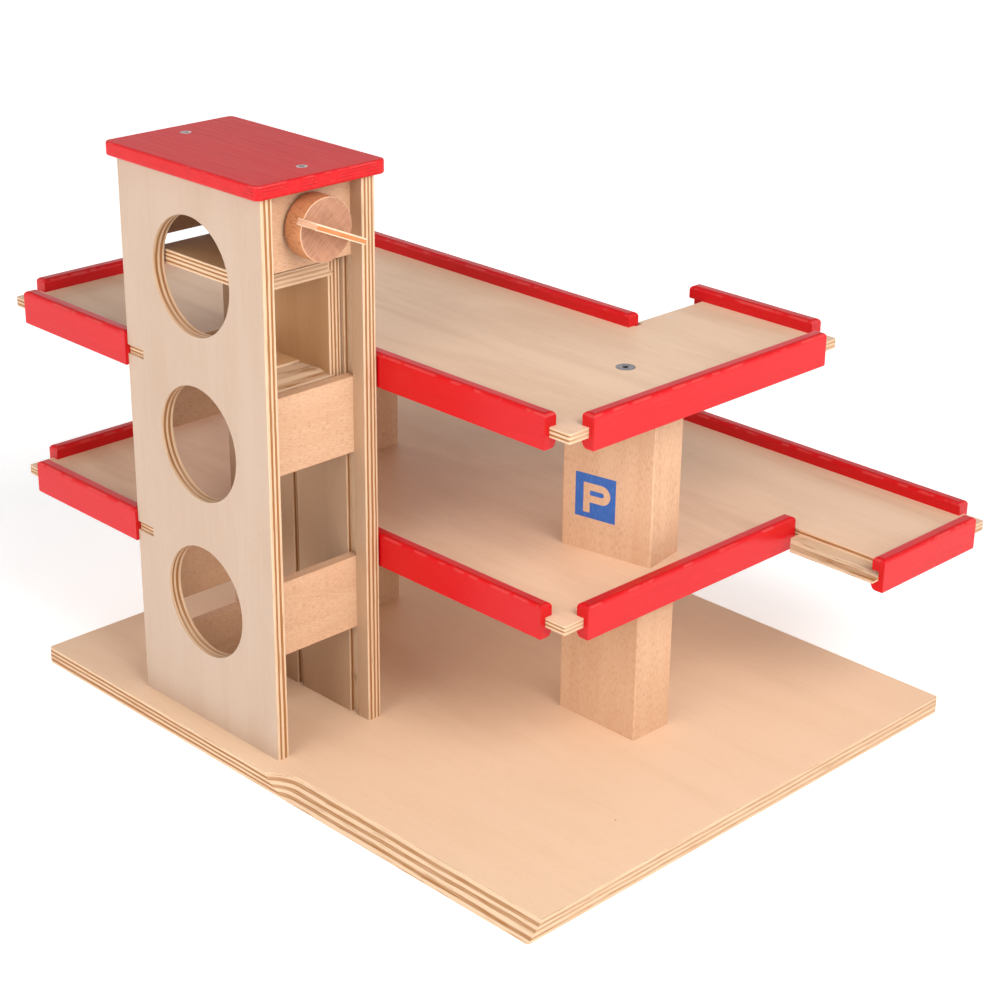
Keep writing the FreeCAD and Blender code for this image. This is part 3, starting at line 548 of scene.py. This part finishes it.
@dataclass(frozen=True)
class CrosscutWood(Finish):
    """A turned disc cut across the grain: rays over its brown face, flecks on its warm rim, a
    painted highlight on its rounded arris.
    """

    lean: float
    face: Colour = srgb(184, 134, 104)
    ray: Colour = srgb(134, 88, 66)
    rim: Colour = srgb(196, 134, 90)
    fleck: Colour = srgb(145, 88, 55)
    # Pale colour for the rounded arris: a painted highlight where the edge catches light
    painted_arris_highlight: Colour = srgb(221, 188, 159)

    RAYS = (90, 600, 1500)
    RINGS = (150, 120, 14)
    SHORT = Streaks(200, 1500, 1.0)
    BROAD = Streaks(8, 90)
    PORES = (1300.0, 0.0)

    def surface(self, s: Shader) -> dict[str, Feed]:
        """Tells the face, its rounded arris and the rim apart by the way they look, and paints a
        highlight on the arris.
        """
        place = s.place()
        leaning = s.turned(place, (0.0, self.lean, 0.0))
        square = s.parts(s.facing())[Axis.Y.value].squared()
        face = square.ramp(0.4, 0.95)
        painted_arris_highlight = square.ramp(0.08, 0.35) * square.ramp(0.95, 0.7)
        rays = s.noise(s.scaled(leaning, self.RAYS), twist=0.2)
        rings = s.noise(s.scaled(leaning, self.RINGS), twist=0.5)
        pores = s.noise(place, *self.PORES).ramp(0.6, 0.72)
        short = s.streaks(place, Axis.Y, self.SHORT).ramp(0.50, 0.68)
        broad = s.streaks(place, Axis.Y, self.BROAD)
        dark = (rays - 0.5) * 1.7 + (rings - 0.5) * 0.9 + pores * 0.3 + 0.25
        across = s.mix(dark, self.face, self.ray)
        lengthways = s.mix(short * 0.7 + (broad - 0.5) * 0.9, self.rim, self.fleck)
        colour = s.mix(face, lengthways, across)
        # Painted highlight along the arris
        colour = s.mix(painted_arris_highlight * 0.6, colour, self.painted_arris_highlight)
        return {
            "Base Color": colour,
            "Roughness": 0.55 + (rays - 0.5) * 0.2,
            "Normal": s.bump(rays * 0.5 - pores * 0.4 - short * 0.4, 0.06 * MM, 0.5),
            "Coat Weight": 0.06,
            "Coat Roughness": 0.3,
            "Specular IOR Level": 0.36,
        }


@dataclass(frozen=True)
class PlatedSteel(Finish):
    """Zinc-plated steel with fine turning marks and dull patches."""

    tint: Colour = srgb(196, 194, 190)
    dull: Colour = srgb(128, 122, 116)

    MARKS = Streaks(2600, 900)
    PATCHES = (260.0, 3.0)

    def surface(self, s: Shader) -> dict[str, Feed]:
        """Patches that are both darker and rougher, and fine marks."""
        place = s.place()
        marks = s.streaks(place, Axis.Z, self.MARKS)
        patches = s.noise(place, *self.PATCHES)
        return {
            "Base Color": s.mix((patches - 0.5) * 1.6 + 0.35, self.tint, self.dull),
            "Metallic": 1.0,
            "Roughness": 0.3 + (patches - 0.5) * 0.3 + (marks - 0.5) * 0.2,
            "Normal": s.bump(marks, 0.03 * MM, 0.4),
        }


@dataclass(frozen=True)
class TwistedCord(Finish):
    """Natural twisted cord; a straight one names its centre line, so its strands can be drawn."""

    line: Optional[tuple[float, float]] = None
    lay: float = 6.0 * MM
    strands: int = 3
    pale: Colour = srgb(232, 222, 200)
    shade: Colour = srgb(168, 148, 116)

    FIBRES = (2600.0, 2.0)
    GROOVE = (700.0, 1.0)

    def surface(self, s: Shader) -> dict[str, Feed]:
        """Shaded grooves between the strands, under fine fibres."""
        place = s.place()
        fibres = s.noise(place, *self.FIBRES)
        if self.line is None:
            groove = s.noise(place, *self.GROOVE).ramp(0.35, 0.7)
        else:
            x, y, z = s.parts(place)
            around = (y - self.line[1]).math("ARCTAN2", x - self.line[0])
            turns = around * self.strands + z * (2 * math.pi * self.strands / self.lay)
            groove = (turns.math("SINE") * 0.5 + 0.5).ramp(0.05, 0.6)
        height = groove + fibres * 0.4
        return {
            "Base Color": s.mix(groove * 0.8 + fibres * 0.2, self.shade, self.pale),
            "Roughness": 0.85,
            "Normal": s.bump(height, 0.2 * MM, 0.8),
            "Sheen Weight": 0.25,
        }


@dataclass(frozen=True)
class PressedFibre(Finish):
    """Black pressed fibre with a matt, felted surface."""

    black: Colour = srgb(38, 34, 32)
    grey: Colour = srgb(74, 68, 62)

    THREADS = (1400.0, 3.0)

    def surface(self, s: Shader) -> dict[str, Feed]:
        """Grey threads that stand up from the black."""
        threads = s.noise(s.place(), *self.THREADS)
        return {
            "Base Color": s.mix(threads.ramp(0.4, 0.75), self.black, self.grey),
            "Roughness": 0.8,
            "Normal": s.bump(threads, 0.08 * MM, 0.6),
        }


@dataclass(frozen=True)
class PrintedInk(Finish):
    """Blue screen print on wood: thin, flat, and lightly broken by the pores under it."""

    blue: Colour = srgb(34, 88, 164)
    thin: Colour = srgb(66, 116, 180)

    PORES = Streaks(190, 1150, 0.0)
    COVER = (120.0, 3.0)

    def surface(self, s: Shader) -> dict[str, Feed]:
        """Ink that covers unevenly and opens over the wood's pores."""
        place = s.place()
        pores = s.streaks(place, Axis.Z, self.PORES).ramp(0.60, 0.72)
        cover = s.noise(place, *self.COVER)
        return {
            "Base Color": s.mix(pores * 0.5 + (cover - 0.5) * 0.5, self.blue, self.thin),
            "Roughness": 0.42 + (cover - 0.5) * 0.2,
            "Normal": s.bump(cover * 0.4 - pores, 0.04 * MM, 0.4),
        }


@dataclass(frozen=True)
class StudioPaper(Finish):
    """Plain white paper that light shines through, more so away from the object."""

    paper: Colour = srgb(250, 250, 250)
    shade: Colour = srgb(246, 246, 246)
    near_glow: float = 0.36
    far_glow: float = 0.52
    near_radius: float = 0.55
    far_radius: float = 1.5

    CLOUD = (3.0, 2.0)

    def surface(self, s: Shader) -> dict[str, Feed]:
        """A glow that grows with the distance from the object."""
        place = s.place()
        x, y, _ = s.parts(place)
        away = (x.squared() + y.squared()).math("SQRT").ramp(self.near_radius, self.far_radius)
        near, far = ((glow, glow, glow, 1.0) for glow in (self.near_glow, self.far_glow))
        cloud = s.noise(place, *self.CLOUD)
        return {
            "Base Color": s.mix(cloud, self.paper, self.shade),
            "Roughness": 0.9,
            "Specular IOR Level": 0.0,
            "Emission Color": s.mix(away, near, far),
            "Emission Strength": 1.0,
        }


# ---- working on objects


def deselect_all() -> None:
    """Leaves nothing selected."""
    for item in bpy.context.selected_objects:
        item.select_set(False)


def only(piece: bpy.types.Object) -> None:
    """Selects one object alone and makes it active."""
    deselect_all()
    piece.select_set(True)
    bpy.context.view_layer.objects.active = piece


def named(piece: bpy.types.Object, name: str) -> bpy.types.Object:
    """Names an object and its mesh."""
    piece.name = name
    piece.data.name = name
    return piece


def settle(piece: bpy.types.Object) -> None:
    """Puts a piece's place, turn and size into its mesh."""
    only(piece)
    bpy.ops.object.transform_apply(location=True, rotation=True, scale=True)


def cut_away(piece: bpy.types.Object, tool: bpy.types.Object) -> None:
    """Takes the tool's shape out of a piece and removes the tool.

    Args:
        piece: The piece that is cut.
        tool: The cutting shape.
    """
    only(piece)
    cut = piece.modifiers.new("cut", "BOOLEAN")
    cut.operation = "DIFFERENCE"
    cut.solver = "EXACT"
    cut.object = tool
    bpy.ops.object.modifier_apply(modifier=cut.name)
    bpy.data.objects.remove(tool)


@contextmanager
def editing(piece: bpy.types.Object) -> Iterator[None]:
    """Opens a piece's mesh for editing with all of it selected, and closes it afterwards."""
    only(piece)
    bpy.ops.object.mode_set(mode="EDIT")
    bpy.ops.mesh.select_all(action="SELECT")
    yield
    bpy.ops.object.mode_set(mode="OBJECT")


@contextmanager
def picked(
    piece: bpy.types.Object, kind: str, wanted: Callable[[list[Vector]], bool]
) -> Iterator[None]:
    """Opens a piece's mesh with some faces or edges selected, and closes it afterwards.

    Args:
        piece: The piece, active and in object mode.
        kind: FACE or EDGE.
        wanted: Tells from the corners' places whether a face or an edge is wanted.
    """
    bpy.ops.object.mode_set(mode="EDIT")
    bpy.ops.mesh.select_mode(type=kind)
    bpy.ops.mesh.select_all(action="DESELECT")
    bpy.ops.object.mode_set(mode="OBJECT")
    mesh = piece.data
    for item in mesh.polygons if kind == "FACE" else mesh.edges:
        item.select = wanted([mesh.vertices[i].co for i in item.vertices])
    bpy.ops.object.mode_set(mode="EDIT")
    yield
    bpy.ops.object.mode_set(mode="OBJECT")


def give(piece: bpy.types.Object, material: bpy.types.Material) -> None:
    """Gives every slot of an object one material."""
    if not piece.material_slots:
        piece.data.materials.append(material)
    for material_slot in piece.material_slots:
        material_slot.material = material


def dress(names: Iterable[str], finish: Finish) -> None:
    """Gives CAD nodes a finish.

    Args:
        names: The nodes' names.
        finish: The finish they share.
    """
    material = finish.material()
    for name in names:
        give(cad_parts[name], material)
        LOG.info("%s: %s", name, finish.name)


def dress_board(
    node: str, kind: type[Finish], name: str, layered: Axis, grain: Axis, plies: int,
    **looks: Union[Colour, float],
) -> None:
    """Gives one board a finish whose plies are counted through its thickness.

    Args:
        node: The board's node.
        kind: Plywood or the lacquer over it.
        name: The material's name.
        layered: The direction that the plies are stacked in.
        grain: The direction of the grain on the board's faces.
        plies: How many plies the board has.
        looks: The finish's values that differ on this board.
    """
    low, high = (corner[layered.value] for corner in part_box(node))
    dress([node], kind(name, layered, grain, low, high, plies, **looks))


# ---- sub-assemblies


@dataclass
class Base:
    """The ground plate."""

    plies: int = 7

    def dress(self) -> None:
        """Gives the plate its plywood."""
        dress_board(
            "base_plate", Plywood, "base_plywood", Axis.Z, Axis.Y, self.plies,
            face=srgb(226, 193, 162), face_deep=srgb(213, 176, 141), figure=0.2, wander=0.24,
        )


@dataclass
class Tower:
    """The lift tower: two panels, the cross pieces between them and the roof."""

    left_plies: int = 5
    right_plies: int = 7
    roof_plies: int = 5
    cross_pieces: tuple[str, ...] = (
        "knob_block", "front_rail_upper", "front_rail_lower", "back_top_block",
        "back_rail_upper", "back_rail_lower", "back_sill",
    )

    def dress(self) -> None:
        """Gives the panels, cross pieces and roof their finishes."""
        for name, plies, face, deep in (
            ("tower_left_panel", self.left_plies, srgb(183, 158, 138), srgb(170, 141, 117)),
            # The right panel is darker and more orange than the left: painted shade, for its inner
            # face lies in the tower's shadow
            ("tower_right_panel", self.right_plies, srgb(184, 150, 120), srgb(168, 130, 98)),
        ):
            dress_board(
                name, Plywood, f"{name}_plywood", Axis.X, Axis.Z, plies, face=face, face_deep=deep
            )
        dress(self.cross_pieces, Beech("cross_piece_beech", Axis.X))
        # The roof is dulled: rougher, more specks, and a painted sheen that pales its top
        dress_board(
            "tower_roof", RedLacquer, "roof_lacquer", Axis.Z, Axis.Y, self.roof_plies, dulled=0.6
        )


@dataclass
class Decks:
    """The two parking decks, their rails and the pillars that carry them."""

    plies: int = 5
    rail_plies: int = 5
    lengthwise_rails: tuple[str, ...] = ("left_rail", "left_front_rail", "right_rail")
    crosswise_rails: tuple[str, ...] = ("back_rail", "front_rail")

    def dress(self) -> None:
        """Gives the decks, rails and pillars their finishes."""
        for storey in ("lower", "upper"):
            deck = f"{storey}_deck"
            dress_board(
                deck, Plywood, f"{deck}_plywood", Axis.Z, Axis.Y, self.plies,
                face=srgb(226, 192, 162), face_deep=srgb(205, 165, 133), figure=0.5,
            )
            for name in self.lengthwise_rails:
                self._dress_rail(f"{storey}_{name}", Axis.X, Axis.Y)
            for name in self.crosswise_rails:
                self._dress_rail(f"{storey}_{name}", Axis.Y, Axis.X)
        self._dress_rail("upper_wing_rail", Axis.X, Axis.Y)
        self._dress_rail("lower_wing_rail", Axis.Y, Axis.X)
        dress(
            ["lower_front_pillar", "lower_rear_pillar", "upper_rear_pillar"],
            Beech("pillar_beech", Axis.Z),
        )
        dress(
            ["upper_front_pillar"],
            Beech("sign_pillar_beech", Axis.Z, turn=math.radians(SIGN_PILLAR_TURN_DEG)),
        )

    def _dress_rail(self, name: str, layered: Axis, grain: Axis) -> None:
        """Gives one rail its lacquer, with plies across its thickness."""
        dress_board(name, RedLacquer, f"{name}_lacquer", layered, grain, self.rail_plies)


@dataclass
class Cabin:
    """The lift cabin: side, roof and floor boards and the runner in the guide groove."""

    board_plies: int = 7
    floor_plies: int = 5

    def dress(self) -> None:
        """Gives the cabin's boards their plywood, darkened and warmed with painted shade."""
        for name, layered, grain, plies in (
            ("cabin_side", Axis.X, Axis.Z, self.board_plies),
            ("cabin_top", Axis.Z, Axis.Y, self.board_plies),
            ("cabin_floor", Axis.Z, Axis.Y, self.floor_plies),
        ):
            # The cabin's plywood is darker and more orange than the rest: painted shade of the
            # cabin's inside
            dress_board(
                name, Plywood, f"{name}_plywood", layered, grain, plies,
                face=srgb(199, 156, 112), face_deep=srgb(181, 132, 88), figure=0.4,
            )
        dress(["cabin_runner"], Beech("runner_beech", Axis.Z))


@dataclass
class Drive:
    """The knob, its shaft and spool, and the cord from the spool to the cabin."""

    knob_lean_deg: float = 23.4
    knob_streak_lean_deg: float = -38.0
    grip_plies: int = 3
    grip_ply: float = 2.8 * MM
    spool_core_radius: float = 8.41 * MM
    cord_radius: float = 1.0 * MM
    cord_lie_gap: float = 0.05 * MM
    cord_turns: int = 7
    cord_pitch: float = 2.6 * MM
    cord_lay: float = 6.0 * MM
    strands: int = 3
    strand_radius: float = 0.52 * MM
    strand_offset: float = 0.46 * MM
    points_a_twist: int = 9
    strand_smoothness: int = 2
    cord_sides: int = 16
    cord_lengths: int = 24
    cord_smooth_deg: float = 40.0
    knot_tube_radius: float = 0.85 * MM
    knot_points: int = 48

    def dress(self) -> None:
        """Gives the turned and metal pieces their finishes."""
        low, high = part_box("knob_disc")
        half_grip = self.grip_plies * self.grip_ply / 2
        dress(["knob_disc"], CrosscutWood("knob_wood", math.radians(self.knob_streak_lean_deg)))
        dress(["knob_grip"], Plywood(
            "grip_plywood", Axis.Z, Axis.X, -half_grip, half_grip, self.grip_plies,
            pale_ply=srgb(226, 200, 172), brown_ply=srgb(190, 116, 64), wander=0.03,
            turn=math.radians(self.knob_lean_deg), centre=tuple((low + high) / 2),
        ))
        dress(["knob_washer"], PressedFibre("washer_fibre"))
        dress(["winding_shaft", "shaft_collar", "cord_spool"], Beech("drive_beech", Axis.Y))
        dress(["drive_pins"], PlatedSteel("pin_steel"))

    def build(self) -> list[bpy.types.Object]:
        """Models the wound cord, the hanging cord and its knot.

        Returns:
            The three cord pieces.
        """
        return [self._wound_cord(), self._hanging_cord(), self._knot()]

    def _tube(
        self, name: str, routes: Sequence[Sequence[Vector]], radius: float, closed: bool = False
    ) -> bpy.types.Object:
        """Lays round strands along routes and makes them one mesh.

        Args:
            name: The piece's name.
            routes: One list of points a strand.
            radius: The strand's radius.
            closed: Whether each strand joins its own start.

        Returns:
            The mesh object.
        """
        deselect_all()
        bpy.ops.curve.primitive_nurbs_path_add(location=(0, 0, 0))
        line = bpy.context.object
        line.data.splines.clear()
        for route in routes:
            spline = line.data.splines.new("NURBS")
            spline.points.add(len(route) - 1)
            for point, where in zip(spline.points, route):
                point.co = (*where, 1.0)
            spline.order_u = 4
            spline.use_endpoint_u = not closed
            spline.use_cyclic_u = closed
            spline.resolution_u = self.strand_smoothness
        line.data.bevel_depth = radius
        line.data.bevel_resolution = self.strand_smoothness
        line.data.use_fill_caps = not closed
        only(line)
        bpy.ops.object.convert(target="MESH")
        bpy.ops.object.shade_smooth()
        return named(bpy.context.object, name)

    def _wound_cord(self) -> bpy.types.Object:
        """The turns on the spool as three twisted strands."""
        shaft_low, shaft_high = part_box("winding_shaft")
        middle = (shaft_low + shaft_high) / 2
        low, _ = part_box("cord_winding")
        turn_radius = self.spool_core_radius + self.cord_lie_gap + self.cord_radius
        start_y = low.y + self.cord_radius
        rise = self.cord_pitch / (2 * math.pi)
        total = 2 * math.pi * self.cord_turns
        twists = total * math.hypot(turn_radius, rise) / self.cord_lay
        count = int(twists * self.points_a_twist)
        routes: list[list[Vector]] = [[] for _ in range(self.strands)]
        for index in range(count + 1):
            share = index / count
            angle = total * (share - 1)
            outward = Vector((math.cos(angle), 0.0, -math.sin(angle)))
            sideways = Vector((0.0, 1.0, 0.0))
            along_y = start_y + self.cord_pitch * self.cord_turns * share
            centre = Vector((middle.x, along_y, middle.z)) + outward * turn_radius
            for strand in range(self.strands):
                turn = 2 * math.pi * (twists * share + strand / self.strands)
                offset = outward * math.cos(turn) + sideways * math.sin(turn)
                routes[strand].append(centre + offset * self.strand_offset)
        piece = self._tube("wound_cord", routes, self.strand_radius)
        give(piece, TwistedCord("wound_cord_fibre").material())
        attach(piece, "knob")
        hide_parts("cord_winding")
        LOG.info("wound_cord: %d turns, bottom at %.4f m", self.cord_turns, low.z)
        return piece

    def _hanging_cord(self) -> bpy.types.Object:
        """The free cord between the spool and the cabin, which grows as the cabin goes down."""
        low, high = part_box("lift_cord")
        centre = (low + high) / 2
        deselect_all()
        bpy.ops.mesh.primitive_cylinder_add(
            vertices=self.cord_sides, radius=self.cord_radius,
            depth=high.z - low.z, location=centre,
        )
        piece = named(bpy.context.object, "hanging_cord")
        settle(piece)
        self._ring_cuts(piece, low.z, high.z, self.cord_lengths)
        bpy.ops.object.shade_smooth_by_angle(angle=math.radians(self.cord_smooth_deg))
        line = (centre.x, centre.y)
        give(piece, TwistedCord("hanging_cord_fibre", line, self.cord_lay).material())
        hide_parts("lift_cord")
        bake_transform(piece)
        LOG.info("hanging_cord: %.4f m at rest", high.z - low.z)
        return piece

    @staticmethod
    def _ring_cuts(piece: bpy.types.Object, low: float, high: float, lengths: int) -> None:
        """Cuts a standing tube into short lengths so that it can stretch evenly."""
        with editing(piece):
            for index in range(1, lengths):
                height = low + (high - low) * index / lengths
                bpy.ops.mesh.bisect(plane_co=(0, 0, height), plane_no=(0, 0, 1))
                bpy.ops.mesh.select_all(action="SELECT")
            bpy.ops.mesh.normals_make_consistent(inside=False)

    def _knot(self) -> bpy.types.Object:
        """The stopper knot under the cabin's roof board: a trefoil of cord."""
        low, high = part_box("cord_knot")
        centre = (low + high) / 2
        reach = (high.x - low.x) / 2 - self.knot_tube_radius
        rise = (high.z - low.z) / 2 - self.knot_tube_radius
        wide, narrow = reach * 2 / 3, reach / 3
        route = []
        for index in range(self.knot_points):
            angle = 2 * math.pi * index / self.knot_points
            around = wide + narrow * math.cos(3 * angle)
            route.append(centre + Vector((
                around * math.cos(2 * angle),
                around * math.sin(2 * angle),
                rise * math.sin(3 * angle),
            )))
        piece = self._tube("cord_stopper_knot", [route], self.knot_tube_radius, closed=True)
        give(piece, TwistedCord("knot_fibre").material())
        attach(piece, "cabin")
        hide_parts("cord_knot")
        LOG.info("cord_stopper_knot: under the roof board at %.4f m", high.z)
        return piece


@dataclass
class Fasteners:
    """Screws, tie rods and nuts."""

    bright: tuple[str, ...] = ("roof_screws", "panel_screws", "tie_rods")
    aged: tuple[str, ...] = ("tie_rod_top_nuts", "tie_rod_foot_nuts")

    def dress(self) -> None:
        """Gives the metal its finishes."""
        dress(self.bright, PlatedSteel("fastener_steel"))
        dress(self.aged, PlatedSteel("nut_steel", tint=srgb(150, 146, 150), dull=srgb(88, 84, 90)))


@dataclass
class ParkingSign:
    """The blue printed square with a bare letter P on the pillar that faces the lift."""

    size: float = 38.0 * MM
    ink: float = 0.12 * MM
    sunk: float = 0.08 * MM
    rear_margin: float = 12.8 * MM
    foot_height: float = 199.0 * MM
    pillar_width: float = 43.0 * MM
    pillar_depth: float = 85.0 * MM
    corner_radius: float = 0.5 * MM
    corner_segments: int = 3
    bend_sides: int = 64
    cutter_depth: float = 2.0 * MM
    weld_distance: float = 0.001 * MM
    letter_left: float = 0.20
    letter_right: float = 0.87
    letter_foot: float = 0.12
    letter_top: float = 0.80
    stem: float = 0.165
    bowl_foot: float = 0.36

    def build(self) -> bpy.types.Object:
        """Models the print.

        Returns:
            The sign's piece.
        """
        piece = self._plate()
        self._cut_letter(piece)
        with editing(piece):
            bpy.ops.mesh.remove_doubles(threshold=self.weld_distance)
            bpy.ops.mesh.normals_make_consistent(inside=False)
        self._hang(piece)
        give(piece, PrintedInk("sign_ink").material())
        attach(piece, "garage")
        LOG.info("parking_sign: %.3f m square", self.size)
        return piece

    def _plate(self) -> bpy.types.Object:
        """The square with rounded corners, lying in the XY plane with one corner at zero."""
        deselect_all()
        half = self.size / 2
        thick = self.ink + self.sunk
        bpy.ops.mesh.primitive_cube_add(size=1.0, location=(half, half, thick / 2 - self.sunk))
        piece = named(bpy.context.object, "parking_sign")
        piece.scale = (self.size, self.size, thick)
        settle(piece)
        with picked(piece, "EDGE", lambda ends: abs(ends[0].z - ends[1].z) > thick / 2):
            bpy.ops.mesh.bevel(offset=self.corner_radius, segments=self.corner_segments)
        return piece

    def _cut_letter(self, piece: bpy.types.Object) -> None:
        """Leaves the letter bare: a stem, two arms and the half-round bend that joins them."""
        unit = self.size
        left, right = self.letter_left * unit, self.letter_right * unit
        foot, top = self.letter_foot * unit, self.letter_top * unit
        stem, bowl = self.stem * unit, self.bowl_foot * unit
        outer = (top - bowl) / 2
        middle = (top + bowl) / 2
        turn_x = right - outer
        deep, deeper = self.cutter_depth, 2 * self.cutter_depth
        for name, x0, x1, y0, y1 in (
            ("letter_stem", left, left + stem, foot, top),
            ("letter_upper_arm", left + stem / 2, turn_x, top - stem, top),
            ("letter_lower_arm", left + stem / 2, turn_x, bowl, bowl + stem),
        ):
            cut_away(piece, self._slab(name, x0, x1, y0, y1, deep))
        bend = self._round("letter_bend", turn_x, middle, outer, deep)
        cut_away(bend, self._round("letter_bend_inside", turn_x, middle, outer - stem, deeper))
        cut_away(bend, self._slab(
            "letter_bend_half", turn_x - 2 * outer, turn_x, bowl - outer, top + outer, deeper
        ))
        cut_away(piece, bend)

    @staticmethod
    def _slab(
        name: str, x0: float, x1: float, y0: float, y1: float, depth: float
    ) -> bpy.types.Object:
        """A cutter with a straight outline, taller than the ink is thick."""
        deselect_all()
        bpy.ops.mesh.primitive_cube_add(size=1.0, location=((x0 + x1) / 2, (y0 + y1) / 2, 0.0))
        piece = named(bpy.context.object, name)
        piece.scale = (x1 - x0, y1 - y0, depth)
        settle(piece)
        return piece

    def _round(
        self, name: str, x: float, y: float, radius: float, depth: float
    ) -> bpy.types.Object:
        """A cutter with a round outline."""
        deselect_all()
        bpy.ops.mesh.primitive_cylinder_add(
            vertices=self.bend_sides, radius=radius, depth=depth, location=(x, y, 0.0)
        )
        piece = named(bpy.context.object, name)
        settle(piece)
        return piece

    def _hang(self, piece: bpy.types.Object) -> None:
        """Stands the print on the pillar's face, in its mesh."""
        low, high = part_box("upper_front_pillar")
        centre = (low + high) / 2
        turn = math.radians(SIGN_PILLAR_TURN_DEG)
        outward = Vector((-math.cos(turn), -math.sin(turn), 0.0))
        rearward = Vector((-math.sin(turn), math.cos(turn), 0.0))
        corner = Vector((centre.x, centre.y, 0.0)) + outward * (self.pillar_width / 2)
        corner += rearward * (self.pillar_depth / 2 - self.rear_margin)
        corner.z = self.foot_height
        columns = Matrix((-rearward, Vector((0.0, 0.0, 1.0)), outward)).transposed()
        piece.matrix_world = Matrix.Translation(corner) @ columns.to_4x4()
        settle(piece)


@dataclass(frozen=True)
class SoftBox:
    """A square lamp that shines at the object.

    Attributes:
        name: The lamp's name.
        azimuth_deg: Its direction round the object.
        elevation_deg: Its height above the floor.
        distance: Its distance from the point it is aimed at.
        side: Its side.
        watts: Its power.
    """

    name: str
    azimuth_deg: float
    elevation_deg: float
    distance: float
    side: float
    watts: float

    def build(self, aim: Vector) -> None:
        """Hangs the lamp and aims it at a point."""
        data = bpy.data.lights.new(self.name, "AREA")
        data.shape = "SQUARE"
        data.size = self.side
        data.energy = self.watts
        lamp = bpy.data.objects.new(self.name, data)
        bpy.context.scene.collection.objects.link(lamp)
        outward = direction(self.azimuth_deg, self.elevation_deg)
        lamp.location = aim + outward * self.distance
        lamp.rotation_mode = "QUATERNION"
        lamp.rotation_quaternion = (-outward).to_track_quat("-Z", "Y")


@dataclass
class Studio:
    """Floor, light and camera."""

    camera_place: tuple[float, float, float] = (-1.17557, -1.19839, 0.89855)
    azimuth_deg: float = -44.81
    elevation_deg: float = 23.24
    roll_deg: float = 0.69
    focal_px: float = 2163.34
    image_px: float = 1000.0
    sensor_mm: float = 36.0
    wall_radius: float = 7.0
    wall_height: float = 3.2
    wall_bend: float = 2.5
    wall_sides: int = 96
    bend_segments: int = 14
    sky: float = 0.29
    lamp_aim: tuple[float, float, float] = (0.0, 0.0, 0.2)
    lamps: tuple[SoftBox, ...] = (
        SoftBox("key", -15.0, 42.0, 2.2, 1.0, 29.0),
        SoftBox("left", -80.0, 20.0, 2.3, 1.4, 21.6),
        SoftBox("right", 12.0, 25.0, 2.2, 1.4, 11.6),
        SoftBox("rim", -110.0, 45.0, 2.3, 1.4, 4.6),
    )

    def build(self) -> None:
        """Makes the floor, the lamps, the sky and the camera."""
        self._floor()
        for lamp in self.lamps:
            lamp.build(Vector(self.lamp_aim))
        self._sky()
        self._camera()
        bpy.context.scene.view_settings.view_transform = "Standard"

    def _floor(self) -> None:
        """A sheet of white paper that curves up into a wall all round."""
        deselect_all()
        middle = self.wall_height / 2
        bpy.ops.mesh.primitive_cylinder_add(
            vertices=self.wall_sides, radius=self.wall_radius, depth=self.wall_height,
            location=(0, 0, middle),
        )
        floor = named(bpy.context.object, "studio_floor")
        settle(floor)
        with picked(floor, "FACE", lambda corners: min(c.z for c in corners) > middle):
            bpy.ops.mesh.delete(type="ONLY_FACE")
        with picked(floor, "EDGE", lambda ends: max(c.z for c in ends) < middle):
            bpy.ops.mesh.bevel(offset=self.wall_bend, segments=self.bend_segments)
        bpy.ops.object.shade_smooth()
        give(floor, StudioPaper("studio_paper").material())

    def _sky(self) -> None:
        """An even pale sky."""
        world = bpy.data.worlds.new("studio_sky")
        bpy.context.scene.world = world
        world.use_nodes = True
        background = world.node_tree.nodes["Background"]
        background.inputs["Color"].default_value = (1.0, 1.0, 1.0, 1.0)
        background.inputs["Strength"].default_value = self.sky

    def _camera(self) -> None:
        """The camera at the photograph's place, turn and focal length."""
        back = direction(self.azimuth_deg, self.elevation_deg)
        right = Vector((0.0, 0.0, 1.0)).cross(back).normalized()
        up = back.cross(right)
        roll = math.radians(self.roll_deg)
        rolled_right = right * math.cos(roll) + up * math.sin(roll)
        rolled_up = up * math.cos(roll) - right * math.sin(roll)
        data = bpy.data.cameras.new("photo_camera")
        data.sensor_width = self.sensor_mm
        data.lens = self.focal_px / self.image_px * self.sensor_mm
        camera = bpy.data.objects.new("photo_camera", data)
        bpy.context.scene.collection.objects.link(camera)
        turn = Matrix((rolled_right, rolled_up, back)).transposed().to_4x4()
        camera.matrix_world = Matrix.Translation(Vector(self.camera_place)) @ turn
        bpy.context.scene.camera = camera


def main() -> None:
    """Dresses the frame, then builds the pieces of its own, the light and the camera."""
    logging.basicConfig(level=logging.INFO, format="%(name)s: %(message)s")
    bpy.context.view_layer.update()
    for assembly in (Base(), Tower(), Decks(), Cabin(), Fasteners()):
        assembly.dress()
    drive = Drive()
    drive.dress()
    for piece in drive.build():
        LOG.info("%s: %d faces", piece.name, len(piece.data.polygons))
    ParkingSign().build()
    Studio().build()


if __name__ == "__main__":
    main()
